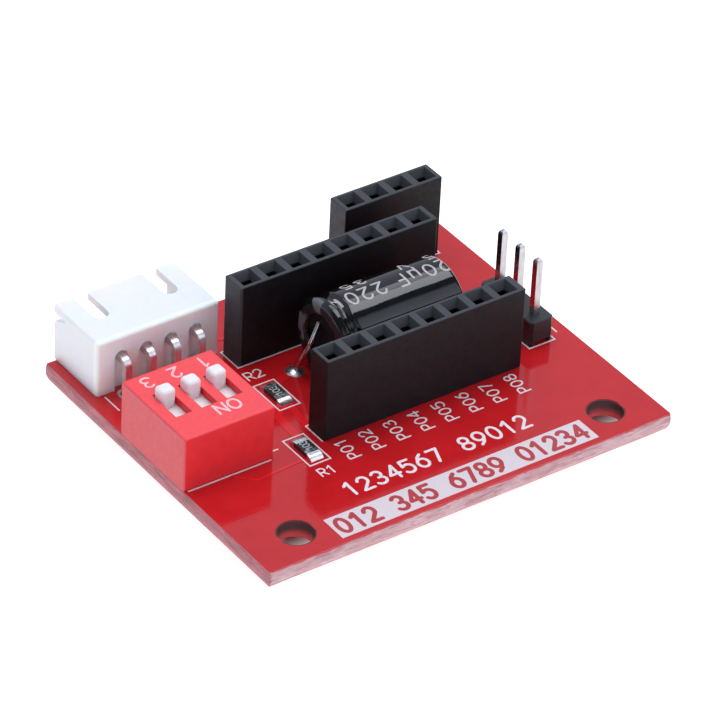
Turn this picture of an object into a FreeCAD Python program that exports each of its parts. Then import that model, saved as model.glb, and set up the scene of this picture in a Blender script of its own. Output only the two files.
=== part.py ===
import FreeCAD, Part
import os
from math import cos, pi, sin, tan

Vector = FreeCAD.Vector

# A plug-in carrier board for a stepper driver: a red circuit board with sockets, a motor
# connector, a three-way DIP switch, a signal header, a capacitor and two resistors.
#
# Frame, in millimetres: the origin is the centre of the board's underside. +X runs along the
# board's long side, +Y towards the edge where the motor plug goes in, +Z up to the components.

# ------------------------------------------------------------------ driving dimensions
PITCH = 2.54                    # grid of the sockets, the header and the DIP switch
PIN = 0.64                      # side of the square pins
PIN_BEVEL = 0.16                # at the tips of the motor connector's pins

BOARD_LENGTH = 41.5
BOARD_WIDTH = 34.2
BOARD_THICKNESS = 1.6
SCORE_DEPTH = 0.5               # the board is scored on both faces, snapped off, and its sides lean in
SCORE_TOP = 0.06                # how far they lean in at the top
SCORE_BOTTOM = 0.17             # and at the underside
TOP = BOARD_THICKNESS           # every component is seated on this level
MOUNT_HOLE_RADIUS = 1.6         # clears an M3 screw
MOUNT_HOLE_SPACING = 32.0
MOUNT_HOLE_MID_X = 0.1
MOUNT_HOLE_Y = -13.9
TAIL_END = -1.5                 # level where every solder tail is clipped off
PLATED_HOLE = 0.5               # radius of the holes for square pins
SMALL_HOLE = 0.42               # radius of the holes for thin terminals
JOINT_RADIUS = 0.92             # solder fillet on the underside, at the board
JOINT_HEIGHT = 1.0

SOCKET_WIDTH = 2.45
SOCKET_HEIGHT = 8.2
SOCKET_FLOOR = 0.9              # plastic left under the contacts
SOFT_EDGE = 0.08                # moulded edges are broken by this much
MOUTH_X, MOUTH_Y = 1.85, 1.85   # top of the funnel above each contact
MOUTH_DEPTH = 0.75
NECK_X, NECK_Y = 1.25, 1.0      # foot of the funnel, narrower than the shaft below it
NECK_LENGTH = 0.3
THROAT_X, THROAT_Y = 1.5, 1.1   # shaft that holds the contact
CONTACT_TAIL_X, CONTACT_TAIL_Y = 0.6, 0.4
CONTACT_DEPTH_Y = 0.8
LEAF = 0.2                      # thickness of a contact's spring leaves
DRIVER_FIRST_X = -5.57          # first contact of both driver sockets
DRIVER_FRONT_Y = -3.57
DRIVER_ROW_SPACING = 12.7
DRIVER_WAYS = 8
CONTROL_FIRST_X = 8.83
CONTROL_Y = 14.25
CONTROL_WAYS = 4

SIGNAL_X = 17.37                # three-pin header, its row runs along Y
SIGNAL_MID_Y = 0.79
SIGNAL_WAYS = 3
INSULATOR = 2.5                 # width and height of the header's insulator
INSULATOR_CHAMFER = 0.3
STANDOFF_GAP = 0.45             # height of the notches under the insulator
STANDOFF_SPAN = 1.6             # and their length across it
SIGNAL_PIN_TOP = 8.3            # above the board

MOTOR_X = -13.5                 # centre of the motor connector
MOTOR_BACK_Y = 10.6             # face with the pins
MOTOR_DEPTH = 7.0
MOTOR_WIDTH = 12.4
MOTOR_HEIGHT = 5.5
MOTOR_WALL = 0.8
MOTOR_SKIN = 0.7                # floor and roof of the shroud
MOTOR_CAVITY_DEPTH = 5.5
MOTOR_PITCH = 2.5
MOTOR_WAYS = 4
MOTOR_PIN_Z = 3.3               # axis of the pins above the board
MOTOR_LEG_Y = 9.7
MOTOR_PIN_TIP = 1.4             # how far the tips stay inside the mouth

DIP_X, DIP_Y = -16.2, 0.45      # centre of the DIP switch
DIP_LENGTH, DIP_WIDTH, DIP_HEIGHT = 9.0, 9.7, 5.35
DIP_WALL = 0.55
DIP_ROOF = 0.75
DIP_WAYS = 3
SLOT_WIDTH, SLOT_LENGTH = 1.6, 3.65
SLOT_MID_Y = 0.52
SLIDER_TRAVEL = 2.2
SLIDER_CLEARANCE = 0.05
KNOB_X, KNOB_Y, KNOB_PROUD = 1.45, 1.35, 1.0
TERMINAL_ROW = 7.62             # distance between the two rows of DIP terminals
DIP_BASE = 1.5
TERMINAL_SHEET = 0.15
WIPER_SHEET = 0.15
WIPER_WIDTH = 1.2

CAN_RADIUS = 3.9
CAN_WALL = 0.3
SLEEVE = 0.1
CAN_LENGTH = 12.5
LIP_BEND = 0.55                 # radius of the curl at the bung end
END_BEND = 0.35                 # radius of the closed end's edge
CRIMP_FROM_LIP = 1.2
CRIMP_HALF = 0.6
CRIMP_DEPTH = 0.55
CAN_LIP = 2.7                   # radius of the curled opening around the bung
SLEEVE_LIP = 3.05               # radius of the opening that the sleeve leaves at both ends
BUNG_START, BUNG_END = 0.5, 3.2  # where the bung lies in the can
WINDING_START = 3.4
CAN_X, CAN_Y, CAN_Z = -2.2, 2.4, 5.75   # bung end of the capacitor's axis
LEAD_RADIUS = 0.25
LEAD_FROM_AXIS = 1.75
LEAD_TILT = pi / 4              # the two leads lie on a line turned by this about the axis

CHIP_LENGTH, CHIP_WIDTH, CHIP_HEIGHT = 2.0, 1.25, 0.5
CHIP_CENTRES = {1: (-8.75, -4.95), 2: (-6.5, 2.85)}


# ------------------------------------------------------------------ shape helpers
def block(x, y, z, size_x, size_y, size_z):
    """A box centred on x and y, standing on z."""
    return Part.makeBox(size_x, size_y, size_z, Vector(x - size_x / 2, y - size_y / 2, z))


def rectangle(x, y, z, size_x, size_y):
    """A level rectangular wire centred on x and y."""
    corners = [(-0.5, -0.5), (0.5, -0.5), (0.5, 0.5), (-0.5, 0.5), (-0.5, -0.5)]
    return Part.makePolygon([Vector(x + i * size_x, y + j * size_y, z) for i, j in corners])


def upright(x, y, z0, z1, radius):
    """A vertical cylinder from z0 to z1."""
    return Part.makeCylinder(radius, z1 - z0, Vector(x, y, z0))


def prism_x(points, x, width):
    """A YZ outline, extruded along X and centred on x."""
    wire = Part.makePolygon([Vector(x - width / 2, y, z) for y, z in points + points[:1]])
    return Part.Face(wire).extrude(Vector(width, 0, 0))


def strip(points, thickness, depth):
    """A bent metal strip: an open line of constant thickness, extruded to its depth."""
    line = Part.makePolygon(points)
    face = line.makeOffset2D(thickness / 2, fill=True)
    return face.translated(-0.5 * depth).extrude(depth)


def edges_where(shape, test):
    """The straight edges whose direction and middle point pass a test."""
    picked = []
    for edge in shape.Edges:
        if edge.Curve.TypeId != "Part::GeomLine":
            continue
        start, end = (vertex.Point for vertex in edge.Vertexes)
        if test((end - start).normalize(), (start + end) * 0.5):
            picked.append(edge)
    return picked


def upright_edges(shape):
    """The vertical edges of a shape."""
    return edges_where(shape, lambda direction, middle: abs(direction.z) > 0.9)


def break_top(shape, level):
    """Chamfer every edge that lies in the top face at a level."""
    edges = [edge for edge in shape.Edges if min(vertex.Z for vertex in edge.Vertexes) > level - 0.01]
    return shape.makeChamfer(SOFT_EDGE, edges)


def rounded_path(points, radius):
    """Straight runs through the points, joined by tangent arcs."""
    edges = []
    start = points[0]
    for before, corner, after in zip(points, points[1:], points[2:]):
        back = (before - corner).normalize()
        ahead = (after - corner).normalize()
        half_turn = (pi - back.getAngle(ahead)) / 2
        shortest = min((before - corner).Length, (after - corner).Length)
        setback = min(radius * tan(half_turn), 0.45 * shortest)
        arc_start = corner + back * setback
        arc_end = corner + ahead * setback
        arc_radius = setback / tan(half_turn)
        bisector = (back + ahead).normalize()
        arc_mid = corner + bisector * (arc_radius / cos(half_turn) - arc_radius)
        edges.append(Part.LineSegment(start, arc_start).toShape())
        edges.append(Part.Arc(arc_start, arc_mid, arc_end).toShape())
        start = arc_end
    edges.append(Part.LineSegment(start, points[-1]).toShape())
    return Part.Wire(edges)


def round_wire(points, bend_radius, radius):
    """A round wire bent along a path."""
    path = rounded_path(points, bend_radius)
    direction = points[1] - points[0]
    section = Part.Wire(Part.makeCircle(radius, points[0], direction))
    return path.makePipeShell([section], True, False)


def places(middle, count, pitch):
    """Evenly spaced positions about a middle."""
    return [middle + (index - (count - 1) / 2) * pitch for index in range(count)]


# ------------------------------------------------------------------ positions of the pins
SOCKET_ROWS = {
    "driver_socket_front": (DRIVER_FIRST_X, DRIVER_FRONT_Y, DRIVER_WAYS, 1.22, 1.6),
    "driver_socket_rear": (DRIVER_FIRST_X, DRIVER_FRONT_Y + DRIVER_ROW_SPACING, DRIVER_WAYS, 1.42, 1.42),
    "control_socket": (CONTROL_FIRST_X, CONTROL_Y, CONTROL_WAYS, 1.37, 1.37),
}
SIGNAL_PIN_PLACES = [(SIGNAL_X, y) for y in places(SIGNAL_MID_Y, SIGNAL_WAYS, PITCH)]
MOTOR_PIN_XS = places(MOTOR_X, MOTOR_WAYS, MOTOR_PITCH)
DIP_XS = places(DIP_X, DIP_WAYS, PITCH)
TERMINAL_PLACES = [(x, DIP_Y + side * TERMINAL_ROW / 2) for x in DIP_XS for side in (-1, 1)]


def socket_places(row):
    """Contact positions of one socket strip."""
    first_x, y, ways = SOCKET_ROWS[row][:3]
    return [(first_x + index * PITCH, y) for index in range(ways)]


def lead_routes():
    """The capacitor's two leads, from the winding, out of the bung and down through the board."""
    inside_x = CAN_X + WINDING_START
    outside_x = CAN_X + BUNG_START - 0.05
    offset_y = LEAD_FROM_AXIS * cos(LEAD_TILT)
    offset_z = LEAD_FROM_AXIS * sin(LEAD_TILT)
    rear_y, rear_z = CAN_Y + offset_y, CAN_Z + offset_z
    front_y, front_z = CAN_Y - offset_y, CAN_Z - offset_z
    rear = [
        Vector(inside_x, rear_y, rear_z),
        Vector(outside_x, rear_y, rear_z),
        Vector(-2.35, 3.35, 6.2),
        Vector(-2.78, 3.36, 5.35),
        Vector(-3.0, 3.8, 4.2),
        Vector(-3.15, 4.5, 2.5),
        Vector(-3.2, 4.88, 1.2),
        Vector(-3.2, 4.88, TAIL_END),
    ]
    front = [
        Vector(inside_x, front_y, front_z),
        Vector(outside_x, front_y, front_z),
        Vector(-2.4, 1.15, 4.25),
        Vector(-2.8, 1.2, 3.1),
        Vector(-2.95, 1.38, 1.2),
        Vector(-2.95, 1.38, TAIL_END),
    ]
    return [rear, front]


# ------------------------------------------------------------------ circuit board
def circuit_board():
    """Glass-fibre board with its two mounting holes and every plated hole."""
    outlines = []
    for level, lean in ((0, SCORE_BOTTOM), (SCORE_DEPTH, 0), (TOP - SCORE_DEPTH, 0), (TOP, SCORE_TOP)):
        outlines.append(rectangle(0, 0, level, BOARD_LENGTH - 2 * lean, BOARD_WIDTH - 2 * lean))
    board = Part.makeLoft(outlines, True, True)
    drilled = []
    for x in places(MOUNT_HOLE_MID_X, 2, MOUNT_HOLE_SPACING):
        drilled.append((x, MOUNT_HOLE_Y, MOUNT_HOLE_RADIUS))
    for row in SOCKET_ROWS:
        drilled += [(x, y, PLATED_HOLE) for x, y in socket_places(row)]
    drilled += [(x, y, PLATED_HOLE) for x, y in SIGNAL_PIN_PLACES]
    drilled += [(x, MOTOR_LEG_Y, PLATED_HOLE) for x in MOTOR_PIN_XS]
    drilled += [(x, y, SMALL_HOLE) for x, y in TERMINAL_PLACES]
    drilled += [(route[-1].x, route[-1].y, SMALL_HOLE) for route in lead_routes()]
    return board.cut([upright(x, y, -1, TOP + 1, radius) for x, y, radius in drilled])


def solder_joint(x, y, hole_radius, conductor, crown=0.0):
    """Solder that fills a plated hole, with a fillet below and, if asked, a crown above."""
    solid = upright(x, y, 0, TOP, hole_radius)
    profile = [
        Vector(x, y, 0),
        Vector(x + JOINT_RADIUS, y, 0),
        Vector(x + 0.62 * JOINT_RADIUS, y, -0.4 * JOINT_HEIGHT),
        Vector(x + 0.46 * JOINT_RADIUS, y, -JOINT_HEIGHT),
        Vector(x, y, -JOINT_HEIGHT),
    ]
    rim = Part.Arc(profile[1], profile[2], profile[3]).toShape()
    sides = [Part.makeLine(profile[0], profile[1]), rim]
    sides += [Part.makeLine(profile[3], profile[4]), Part.makeLine(profile[4], profile[0])]
    fillet = Part.Face(Part.Wire(sides)).revolve(Vector(x, y, 0), Vector(0, 0, 1), 360)
    solid = solid.fuse(fillet)
    if crown:
        ball = (JOINT_RADIUS ** 2 + crown ** 2) / (2 * crown)
        dome = Part.makeSphere(ball, Vector(x, y, TOP + crown - ball))
        solid = solid.fuse(dome.common(upright(x, y, TOP, TOP + 2 * crown, JOINT_RADIUS)))
    return solid.cut(conductor).removeSplitter()


# ------------------------------------------------------------------ sockets
def socket_housing(row):
    """Moulded socket strip: a bar with one stepped shaft for each contact."""
    first_x, y, ways, margin_left, margin_right = SOCKET_ROWS[row]
    length = margin_left + (ways - 1) * PITCH + margin_right
    mid_x = first_x - margin_left + length / 2
    bar = block(mid_x, y, TOP, length, SOCKET_WIDTH, SOCKET_HEIGHT)
    bar = break_top(bar.makeFillet(1.5 * SOFT_EDGE, upright_edges(bar)), TOP + SOCKET_HEIGHT)
    mouth_z = TOP + SOCKET_HEIGHT - MOUTH_DEPTH
    shaft_z = TOP + SOCKET_FLOOR
    shaft_height = mouth_z - NECK_LENGTH - shaft_z
    shafts = []
    for x, _ in socket_places(row):
        funnel = [rectangle(x, y, mouth_z, NECK_X, NECK_Y),
                  rectangle(x, y, mouth_z + MOUTH_DEPTH, MOUTH_X, MOUTH_Y)]
        shafts.append(Part.makeLoft(funnel, True, True))
        shafts.append(block(x, y, shaft_z, NECK_X, NECK_Y, mouth_z - shaft_z))
        shafts.append(block(x, y, shaft_z, THROAT_X, THROAT_Y, shaft_height))
        shafts.append(block(x, y, TOP - 1, CONTACT_TAIL_X, CONTACT_TAIL_Y, 1 + SOCKET_HEIGHT / 2))
    return bar.cut(shafts)


def socket_contact(x, y):
    """Stamped fork contact: a tail, a crossbar and two leaves that pinch a pin between them."""
    crossbar_z = TOP + SOCKET_FLOOR
    crossbar_height = 0.3
    tail = block(x, y, TAIL_END, CONTACT_TAIL_X, CONTACT_TAIL_Y, crossbar_z - TAIL_END)
    crossbar = block(x, y, crossbar_z, THROAT_X - 0.1, CONTACT_DEPTH_Y, crossbar_height)
    fork = tail.fuse(crossbar)
    for side in (-1, 1):
        bends = [(0.57, 0.15), (0.57, 1.6), (0.2 + LEAF / 2, 4.2), (0.5, 5.2)]
        points = [Vector(x + side * out, y, crossbar_z + up) for out, up in bends]
        fork = fork.fuse(strip(points, LEAF, Vector(0, CONTACT_DEPTH_Y, 0)))
    return fork.removeSplitter()


# ------------------------------------------------------------------ signal header
def signal_header_insulator():
    """Three joined cells with chamfered corners and a shallow standoff notch under each joint."""
    cells = []
    half = INSULATOR / 2
    for x, y in SIGNAL_PIN_PLACES:
        inner = half - INSULATOR_CHAMFER
        reach = PITCH / 2
        outline = [(half, reach - INSULATOR_CHAMFER), (inner, reach), (-inner, reach)]
        outline += [(-half, reach - INSULATOR_CHAMFER), (-half, INSULATOR_CHAMFER - reach)]
        outline += [(-inner, -reach), (inner, -reach), (half, INSULATOR_CHAMFER - reach)]
        corners = [Vector(x + dx, y + dy, TOP) for dx, dy in outline + outline[:1]]
        cells.append(Part.Face(Part.makePolygon(corners)).extrude(Vector(0, 0, INSULATOR)))
    row = cells[0].fuse(cells[1:]).removeSplitter()
    groove_y = [SIGNAL_MID_Y + (index - 1.5) * PITCH for index in range(4)]
    grooves = [block(SIGNAL_X, y, TOP - 1, STANDOFF_SPAN, 0.9, 1 + STANDOFF_GAP) for y in groove_y]
    bores = [block(x, y, TOP - 1, PIN, PIN, INSULATOR + 2) for x, y in SIGNAL_PIN_PLACES]
    return break_top(row.cut(grooves), TOP + INSULATOR).cut(bores)


def signal_pin(x, y):
    """Square pin with a bullet tip, drawn in over its last half millimetre."""
    levels = [(TAIL_END, PIN)]
    for below_tip, side in ((0.5, PIN), (0.3, 0.6), (0.12, 0.46), (0, 0.24)):
        levels.append((TOP + SIGNAL_PIN_TOP - below_tip, side))
    return Part.makeLoft([rectangle(x, y, z, side, side) for z, side in levels], True, True)


# ------------------------------------------------------------------ motor connector
def motor_connector_housing():
    """White shrouded housing: open towards +Y, with an arched pocket behind every pin."""
    mouth_y = MOTOR_BACK_Y + MOTOR_DEPTH
    mid_y = MOTOR_BACK_Y + MOTOR_DEPTH / 2
    shell = block(MOTOR_X, mid_y, TOP, MOTOR_WIDTH, MOTOR_DEPTH, MOTOR_HEIGHT)

    def outer_edge(direction, middle):
        upright_edge = abs(direction.z) > 0.9
        roof_edge = abs(middle.z - TOP - MOTOR_HEIGHT) < 0.01 and abs(middle.y - mouth_y) > 0.01
        return upright_edge or roof_edge

    shell = shell.makeFillet(0.3, edges_where(shell, outer_edge))
    cavity_y = mouth_y - MOTOR_CAVITY_DEPTH
    cavity_width = MOTOR_WIDTH - 2 * MOTOR_WALL
    cavity_height = MOTOR_HEIGHT - 2 * MOTOR_SKIN
    cavity_mid_y = cavity_y + (MOTOR_CAVITY_DEPTH + 1) / 2
    cuts = [block(MOTOR_X, cavity_mid_y, TOP + MOTOR_SKIN, cavity_width, MOTOR_CAVITY_DEPTH + 1,
                  cavity_height)]

    slot_width, slot_depth, slot_offset = 1.5, 3.95, 3.5
    roof_z = TOP + MOTOR_HEIGHT - MOTOR_SKIN - 0.2
    for side in (-1, 1):
        x = MOTOR_X + side * slot_offset
        end_y = mouth_y - slot_depth + slot_width / 2
        cuts.append(block(x, (end_y + mouth_y + 1) / 2, roof_z, slot_width, mouth_y + 1 - end_y, 2))
        cuts.append(upright(x, end_y, roof_z, roof_z + 2, slot_width / 2))
        notch_top = TOP + MOTOR_HEIGHT - MOTOR_SKIN
        notch = [(mouth_y - 2.0, notch_top), (mouth_y + 0.5, notch_top), (mouth_y + 0.5, notch_top - 1.3)]
        cuts.append(prism_x(notch, MOTOR_X + side * (MOTOR_WIDTH / 2), 2 * MOTOR_WALL))

    pocket_width, pocket_depth, pocket_spring = 1.3, 0.5, 3.4
    for x in MOTOR_PIN_XS:
        pocket_y = MOTOR_BACK_Y + pocket_depth / 2 - 0.5
        cuts.append(block(x, pocket_y, TOP - 1, pocket_width, pocket_depth + 1, pocket_spring + 1))
        arch = Part.makeCylinder(pocket_width / 2, pocket_depth + 1,
                                 Vector(x, MOTOR_BACK_Y - 1, TOP + pocket_spring), Vector(0, 1, 0))
        cuts.append(arch)
        cuts.append(block(x, cavity_y - 0.5, TOP + MOTOR_PIN_Z - PIN / 2, PIN, 3, PIN))
    return shell.cut(cuts).removeSplitter()


def motor_pin(x):
    """Square pin, level inside the shroud and bent down into the board behind it."""
    half = PIN / 2
    level = TOP + MOTOR_PIN_Z
    inner_bend = 0.25
    bend_y, bend_z = MOTOR_LEG_Y + half + inner_bend, level - half - inner_bend
    outer_bend = inner_bend + PIN
    tip_y = MOTOR_BACK_Y + MOTOR_DEPTH - MOTOR_PIN_TIP

    def point(y, z):
        return Vector(x - half, y, z)

    def arc_middle(radius):
        return point(bend_y - radius * cos(pi / 4), bend_z + radius * sin(pi / 4))

    leg_out, leg_in = MOTOR_LEG_Y - half, MOTOR_LEG_Y + half
    outline = [
        Part.makePolygon([point(leg_out, bend_z), point(leg_out, TAIL_END), point(leg_in, TAIL_END),
                          point(leg_in, bend_z)]),
        Part.Arc(point(leg_in, bend_z), arc_middle(inner_bend), point(bend_y, level - half)).toShape(),
        Part.makePolygon([point(bend_y, level - half), point(tip_y - PIN_BEVEL, level - half),
                          point(tip_y, level - half + PIN_BEVEL), point(tip_y, level + half - PIN_BEVEL),
                          point(tip_y - PIN_BEVEL, level + half), point(bend_y, level + half)]),
        Part.Arc(point(bend_y, level + half), arc_middle(outer_bend), point(leg_out, bend_z)).toShape(),
    ]
    edges = [edge for piece in outline for edge in piece.Edges]
    return Part.Face(Part.Wire(edges)).extrude(Vector(PIN, 0, 0))


# ------------------------------------------------------------------ DIP switch
def dip_switch_cover():
    """Red cap of the switch, with one slot in its roof for every slider."""
    cap = block(DIP_X, DIP_Y, TOP, DIP_LENGTH, DIP_WIDTH, DIP_HEIGHT)
    cap = cap.makeFillet(0.18, edges_where(cap, lambda direction, middle: middle.z > TOP + 0.01))
    hollow = block(DIP_X, DIP_Y, TOP - 1, DIP_LENGTH - 2 * DIP_WALL, DIP_WIDTH - 2 * DIP_WALL,
                   DIP_HEIGHT - DIP_ROOF + 1)
    slots = [block(x, SLOT_MID_Y, TOP + 1, SLOT_WIDTH, SLOT_LENGTH, DIP_HEIGHT) for x in DIP_XS]
    return cap.cut([hollow] + slots)


def dip_terminal(x, y):
    """Flat contact pad on the base, with a leg that goes down through base and board."""
    side = 1 if y > DIP_Y else -1
    pad_length = 3.1
    pad_mid_y = y + side * 0.2 - side * pad_length / 2
    pad_z = TOP + DIP_BASE
    leg = block(x, y, TAIL_END, 0.5, 0.25, pad_z - TAIL_END)
    pad = block(x, pad_mid_y, pad_z, 1.4, pad_length, TERMINAL_SHEET)
    return leg.fuse(pad).removeSplitter()


def dip_switch_base(terminals):
    """Black floor of the switch with two ribs that keep the sliders apart."""
    length, width = DIP_LENGTH - 2 * DIP_WALL, DIP_WIDTH - 2 * DIP_WALL
    floor = block(DIP_X, DIP_Y, TOP, length, width, DIP_BASE)
    rib_top = DIP_HEIGHT - DIP_ROOF - SLIDER_CLEARANCE
    for x in places(DIP_X, DIP_WAYS - 1, PITCH):
        floor = floor.fuse(block(x, DIP_Y, TOP, 0.24, width, rib_top))
    return floor.cut(terminals).removeSplitter()


SLIDER_TOP = TOP + DIP_HEIGHT - DIP_ROOF - SLIDER_CLEARANCE
SLIDER_SEAT = SLIDER_TOP - 0.8
KNOB_REST_Y = SLOT_MID_Y + SLOT_LENGTH / 2 - SLIDER_CLEARANCE - KNOB_Y / 2


def dip_slider(x):
    """White slider: a plate that always covers its slot, with the knob standing on it."""
    plate_front = SLOT_MID_Y - SLOT_LENGTH / 2 - 0.15
    plate_back = SLOT_MID_Y + SLOT_LENGTH / 2 + SLIDER_TRAVEL + 0.15
    plate = block(x, (plate_front + plate_back) / 2, SLIDER_SEAT, 2.0, plate_back - plate_front, 0.8)
    knob_height = TOP + DIP_HEIGHT + KNOB_PROUD - SLIDER_TOP
    knob = block(x, KNOB_REST_Y, SLIDER_TOP, KNOB_X, KNOB_Y, knob_height)
    knob = knob.makeFillet(0.36, edges_where(knob, lambda direction, middle: middle.z > SLIDER_TOP + 0.01))
    return plate.fuse(knob).removeSplitter()


def dip_wiper(x):
    """Spring blade under a slider: two feet that ride on the terminal pads."""
    mid_y = KNOB_REST_Y + 0.98
    foot_z = TOP + DIP_BASE + TERMINAL_SHEET + SLIDER_CLEARANCE + WIPER_SHEET / 2
    roof_z = SLIDER_SEAT - WIPER_SHEET / 2
    half_shape = [(0.45, roof_z), (1.1, foot_z + 0.12), (1.3, foot_z), (1.5, foot_z + 0.12)]
    half_shape.append((1.65, foot_z + 0.5))
    right = [Vector(x, mid_y + out, z) for out, z in half_shape]
    left = [Vector(x, mid_y - out, z) for out, z in reversed(half_shape)]
    return strip(left + right, WIPER_SHEET, Vector(WIPER_WIDTH, 0, 0))


# ------------------------------------------------------------------ capacitor
def can_line(offset, lip_radius):
    """Half outline of the can from its curled lip to its closed end, moved out by an offset."""
    radius = CAN_RADIUS + offset
    lip_bend, end_bend = LIP_BEND + offset, END_BEND + offset
    slant = 1 - cos(pi / 4)
    start_x, end_x = -offset, CAN_LENGTH + offset

    def point(x, r):
        return Vector(x, 0, r)

    lip_top = point(start_x + lip_bend, radius)
    lip_mid = point(start_x + slant * lip_bend, radius - slant * lip_bend)
    groove_in = point(CRIMP_FROM_LIP - CRIMP_HALF + offset / 2, radius)
    groove_mid = point(CRIMP_FROM_LIP, radius - CRIMP_DEPTH)
    groove_out = point(CRIMP_FROM_LIP + CRIMP_HALF - offset / 2, radius)
    end_top = point(end_x - end_bend, radius)
    end_mid = point(end_x - slant * end_bend, radius - slant * end_bend)
    end_low = point(end_x, radius - end_bend)
    return [
        Part.makeLine(point(start_x, lip_radius), point(start_x, radius - lip_bend)),
        Part.Arc(point(start_x, radius - lip_bend), lip_mid, lip_top).toShape(),
        Part.makeLine(lip_top, groove_in),
        Part.Arc(groove_in, groove_mid, groove_out).toShape(),
        Part.makeLine(groove_out, end_top),
        Part.Arc(end_top, end_mid, end_low).toShape(),
    ]


def turned(edges):
    """Revolve a closed half outline about the capacitor's axis and put it in place."""
    face = Part.Face(Part.Wire(Part.__sortEdges__(edges)))
    solid = face.revolve(Vector(0, 0, 0), Vector(1, 0, 0), 360)
    return solid.translated(Vector(CAN_X, CAN_Y, CAN_Z))


def joined(points):
    """Straight edges through points of the half outline, given as (x, radius)."""
    corners = [Vector(x, 0, r) for x, r in points]
    return [Part.makeLine(a, b) for a, b in zip(corners, corners[1:])]


END_RADIUS = CAN_RADIUS - END_BEND


def capacitor_can():
    """Drawn aluminium can, crimped and curled over the bung, with a cross scored in its end."""
    outer = can_line(0, CAN_LIP)
    inner = can_line(-CAN_WALL, CAN_LIP)
    inner_end = CAN_LENGTH - CAN_WALL
    closed_end = joined([(CAN_LENGTH, END_RADIUS), (CAN_LENGTH, 0), (inner_end, 0), (inner_end, END_RADIUS)])
    lip = joined([(0, CAN_LIP), (CAN_WALL, CAN_LIP)])
    can = turned(outer + inner + closed_end + lip)
    end_x = CAN_X + CAN_LENGTH
    scores = []
    for size_y, size_z in ((4.4, 0.25), (0.25, 4.4)):
        scores.append(block(end_x, CAN_Y, CAN_Z - size_z / 2, 0.24, size_y, size_z))
    return can.cut(scores)


def capacitor_sleeve():
    """Shrunk plastic sleeve around the can, lapped over both of its ends."""
    outer = can_line(SLEEVE, SLEEVE_LIP)
    inner = can_line(0, SLEEVE_LIP)
    left_lap = joined([(-SLEEVE, SLEEVE_LIP), (0, SLEEVE_LIP)])
    right_lap = joined([(CAN_LENGTH + SLEEVE, END_RADIUS), (CAN_LENGTH + SLEEVE, SLEEVE_LIP),
                        (CAN_LENGTH, SLEEVE_LIP), (CAN_LENGTH, END_RADIUS)])
    return turned(outer + inner + left_lap + right_lap)


def capacitor_bung(leads):
    """Rubber bung that seals the can, a little below its lip, gripped by the crimp groove."""
    inner_end = CAN_LENGTH - CAN_WALL
    plug = turned(can_line(-CAN_WALL, 0) + joined([(inner_end, END_RADIUS), (inner_end, 0), (CAN_WALL, 0)]))
    keep = Part.makeCylinder(CAN_RADIUS, BUNG_END - BUNG_START, Vector(CAN_X + BUNG_START, CAN_Y, CAN_Z),
                             Vector(1, 0, 0))
    return plug.common(keep).cut(leads)


def capacitor_winding():
    """Wound foil element, which fills the can behind the bung."""
    play = 0.1
    length = CAN_LENGTH - CAN_WALL - 2 * play - WINDING_START
    start = Vector(CAN_X + WINDING_START, CAN_Y, CAN_Z)
    return Part.makeCylinder(CAN_RADIUS - CAN_WALL - play, length, start, Vector(1, 0, 0))


# ------------------------------------------------------------------ chip resistors
CAP_LENGTH, CAP_SHEET = 0.4, 0.04
CHIP_FOOT, CHIP_FILLET = 0.7, 0.42   # length and height of the solder at each end


def chip_body(x, y):
    """Ceramic body of a chip resistor, lying along Y."""
    return block(x, y, TOP + CAP_SHEET, CHIP_WIDTH, CHIP_LENGTH - 2 * CAP_SHEET, CHIP_HEIGHT - 2 * CAP_SHEET)


def chip_end_caps(x, y):
    """The two metal terminations wrapped round the body's ends."""
    caps = []
    for side in (-1, 1):
        mid_y = y + side * (CHIP_LENGTH - CAP_LENGTH) / 2
        cap = block(x, mid_y, TOP, CHIP_WIDTH, CAP_LENGTH, CHIP_HEIGHT)
        caps.append(cap.cut(chip_body(x, y)))
    return caps


def chip_solder(x, y):
    """A bulging bead of solder against each end of the resistor."""
    fillets = []
    for side in (-1, 1):
        end_y = y + side * CHIP_LENGTH / 2
        foot_y = end_y + side * CHIP_FOOT
        start, low, high = Vector(x, end_y, TOP), Vector(x, foot_y, TOP), Vector(x, end_y, TOP + CHIP_FILLET)
        belly = Vector(x, end_y + side * 0.64 * CHIP_FOOT, TOP + 0.68 * CHIP_FILLET)
        slope = Part.Arc(low, belly, high).toShape()
        outline = Part.Wire([Part.makeLine(start, low), slope, Part.makeLine(high, start)])
        face = Part.Face(outline).translated(Vector(-CHIP_WIDTH / 2, 0, 0))
        fillets.append(face.extrude(Vector(CHIP_WIDTH, 0, 0)))
    return fillets


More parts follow.
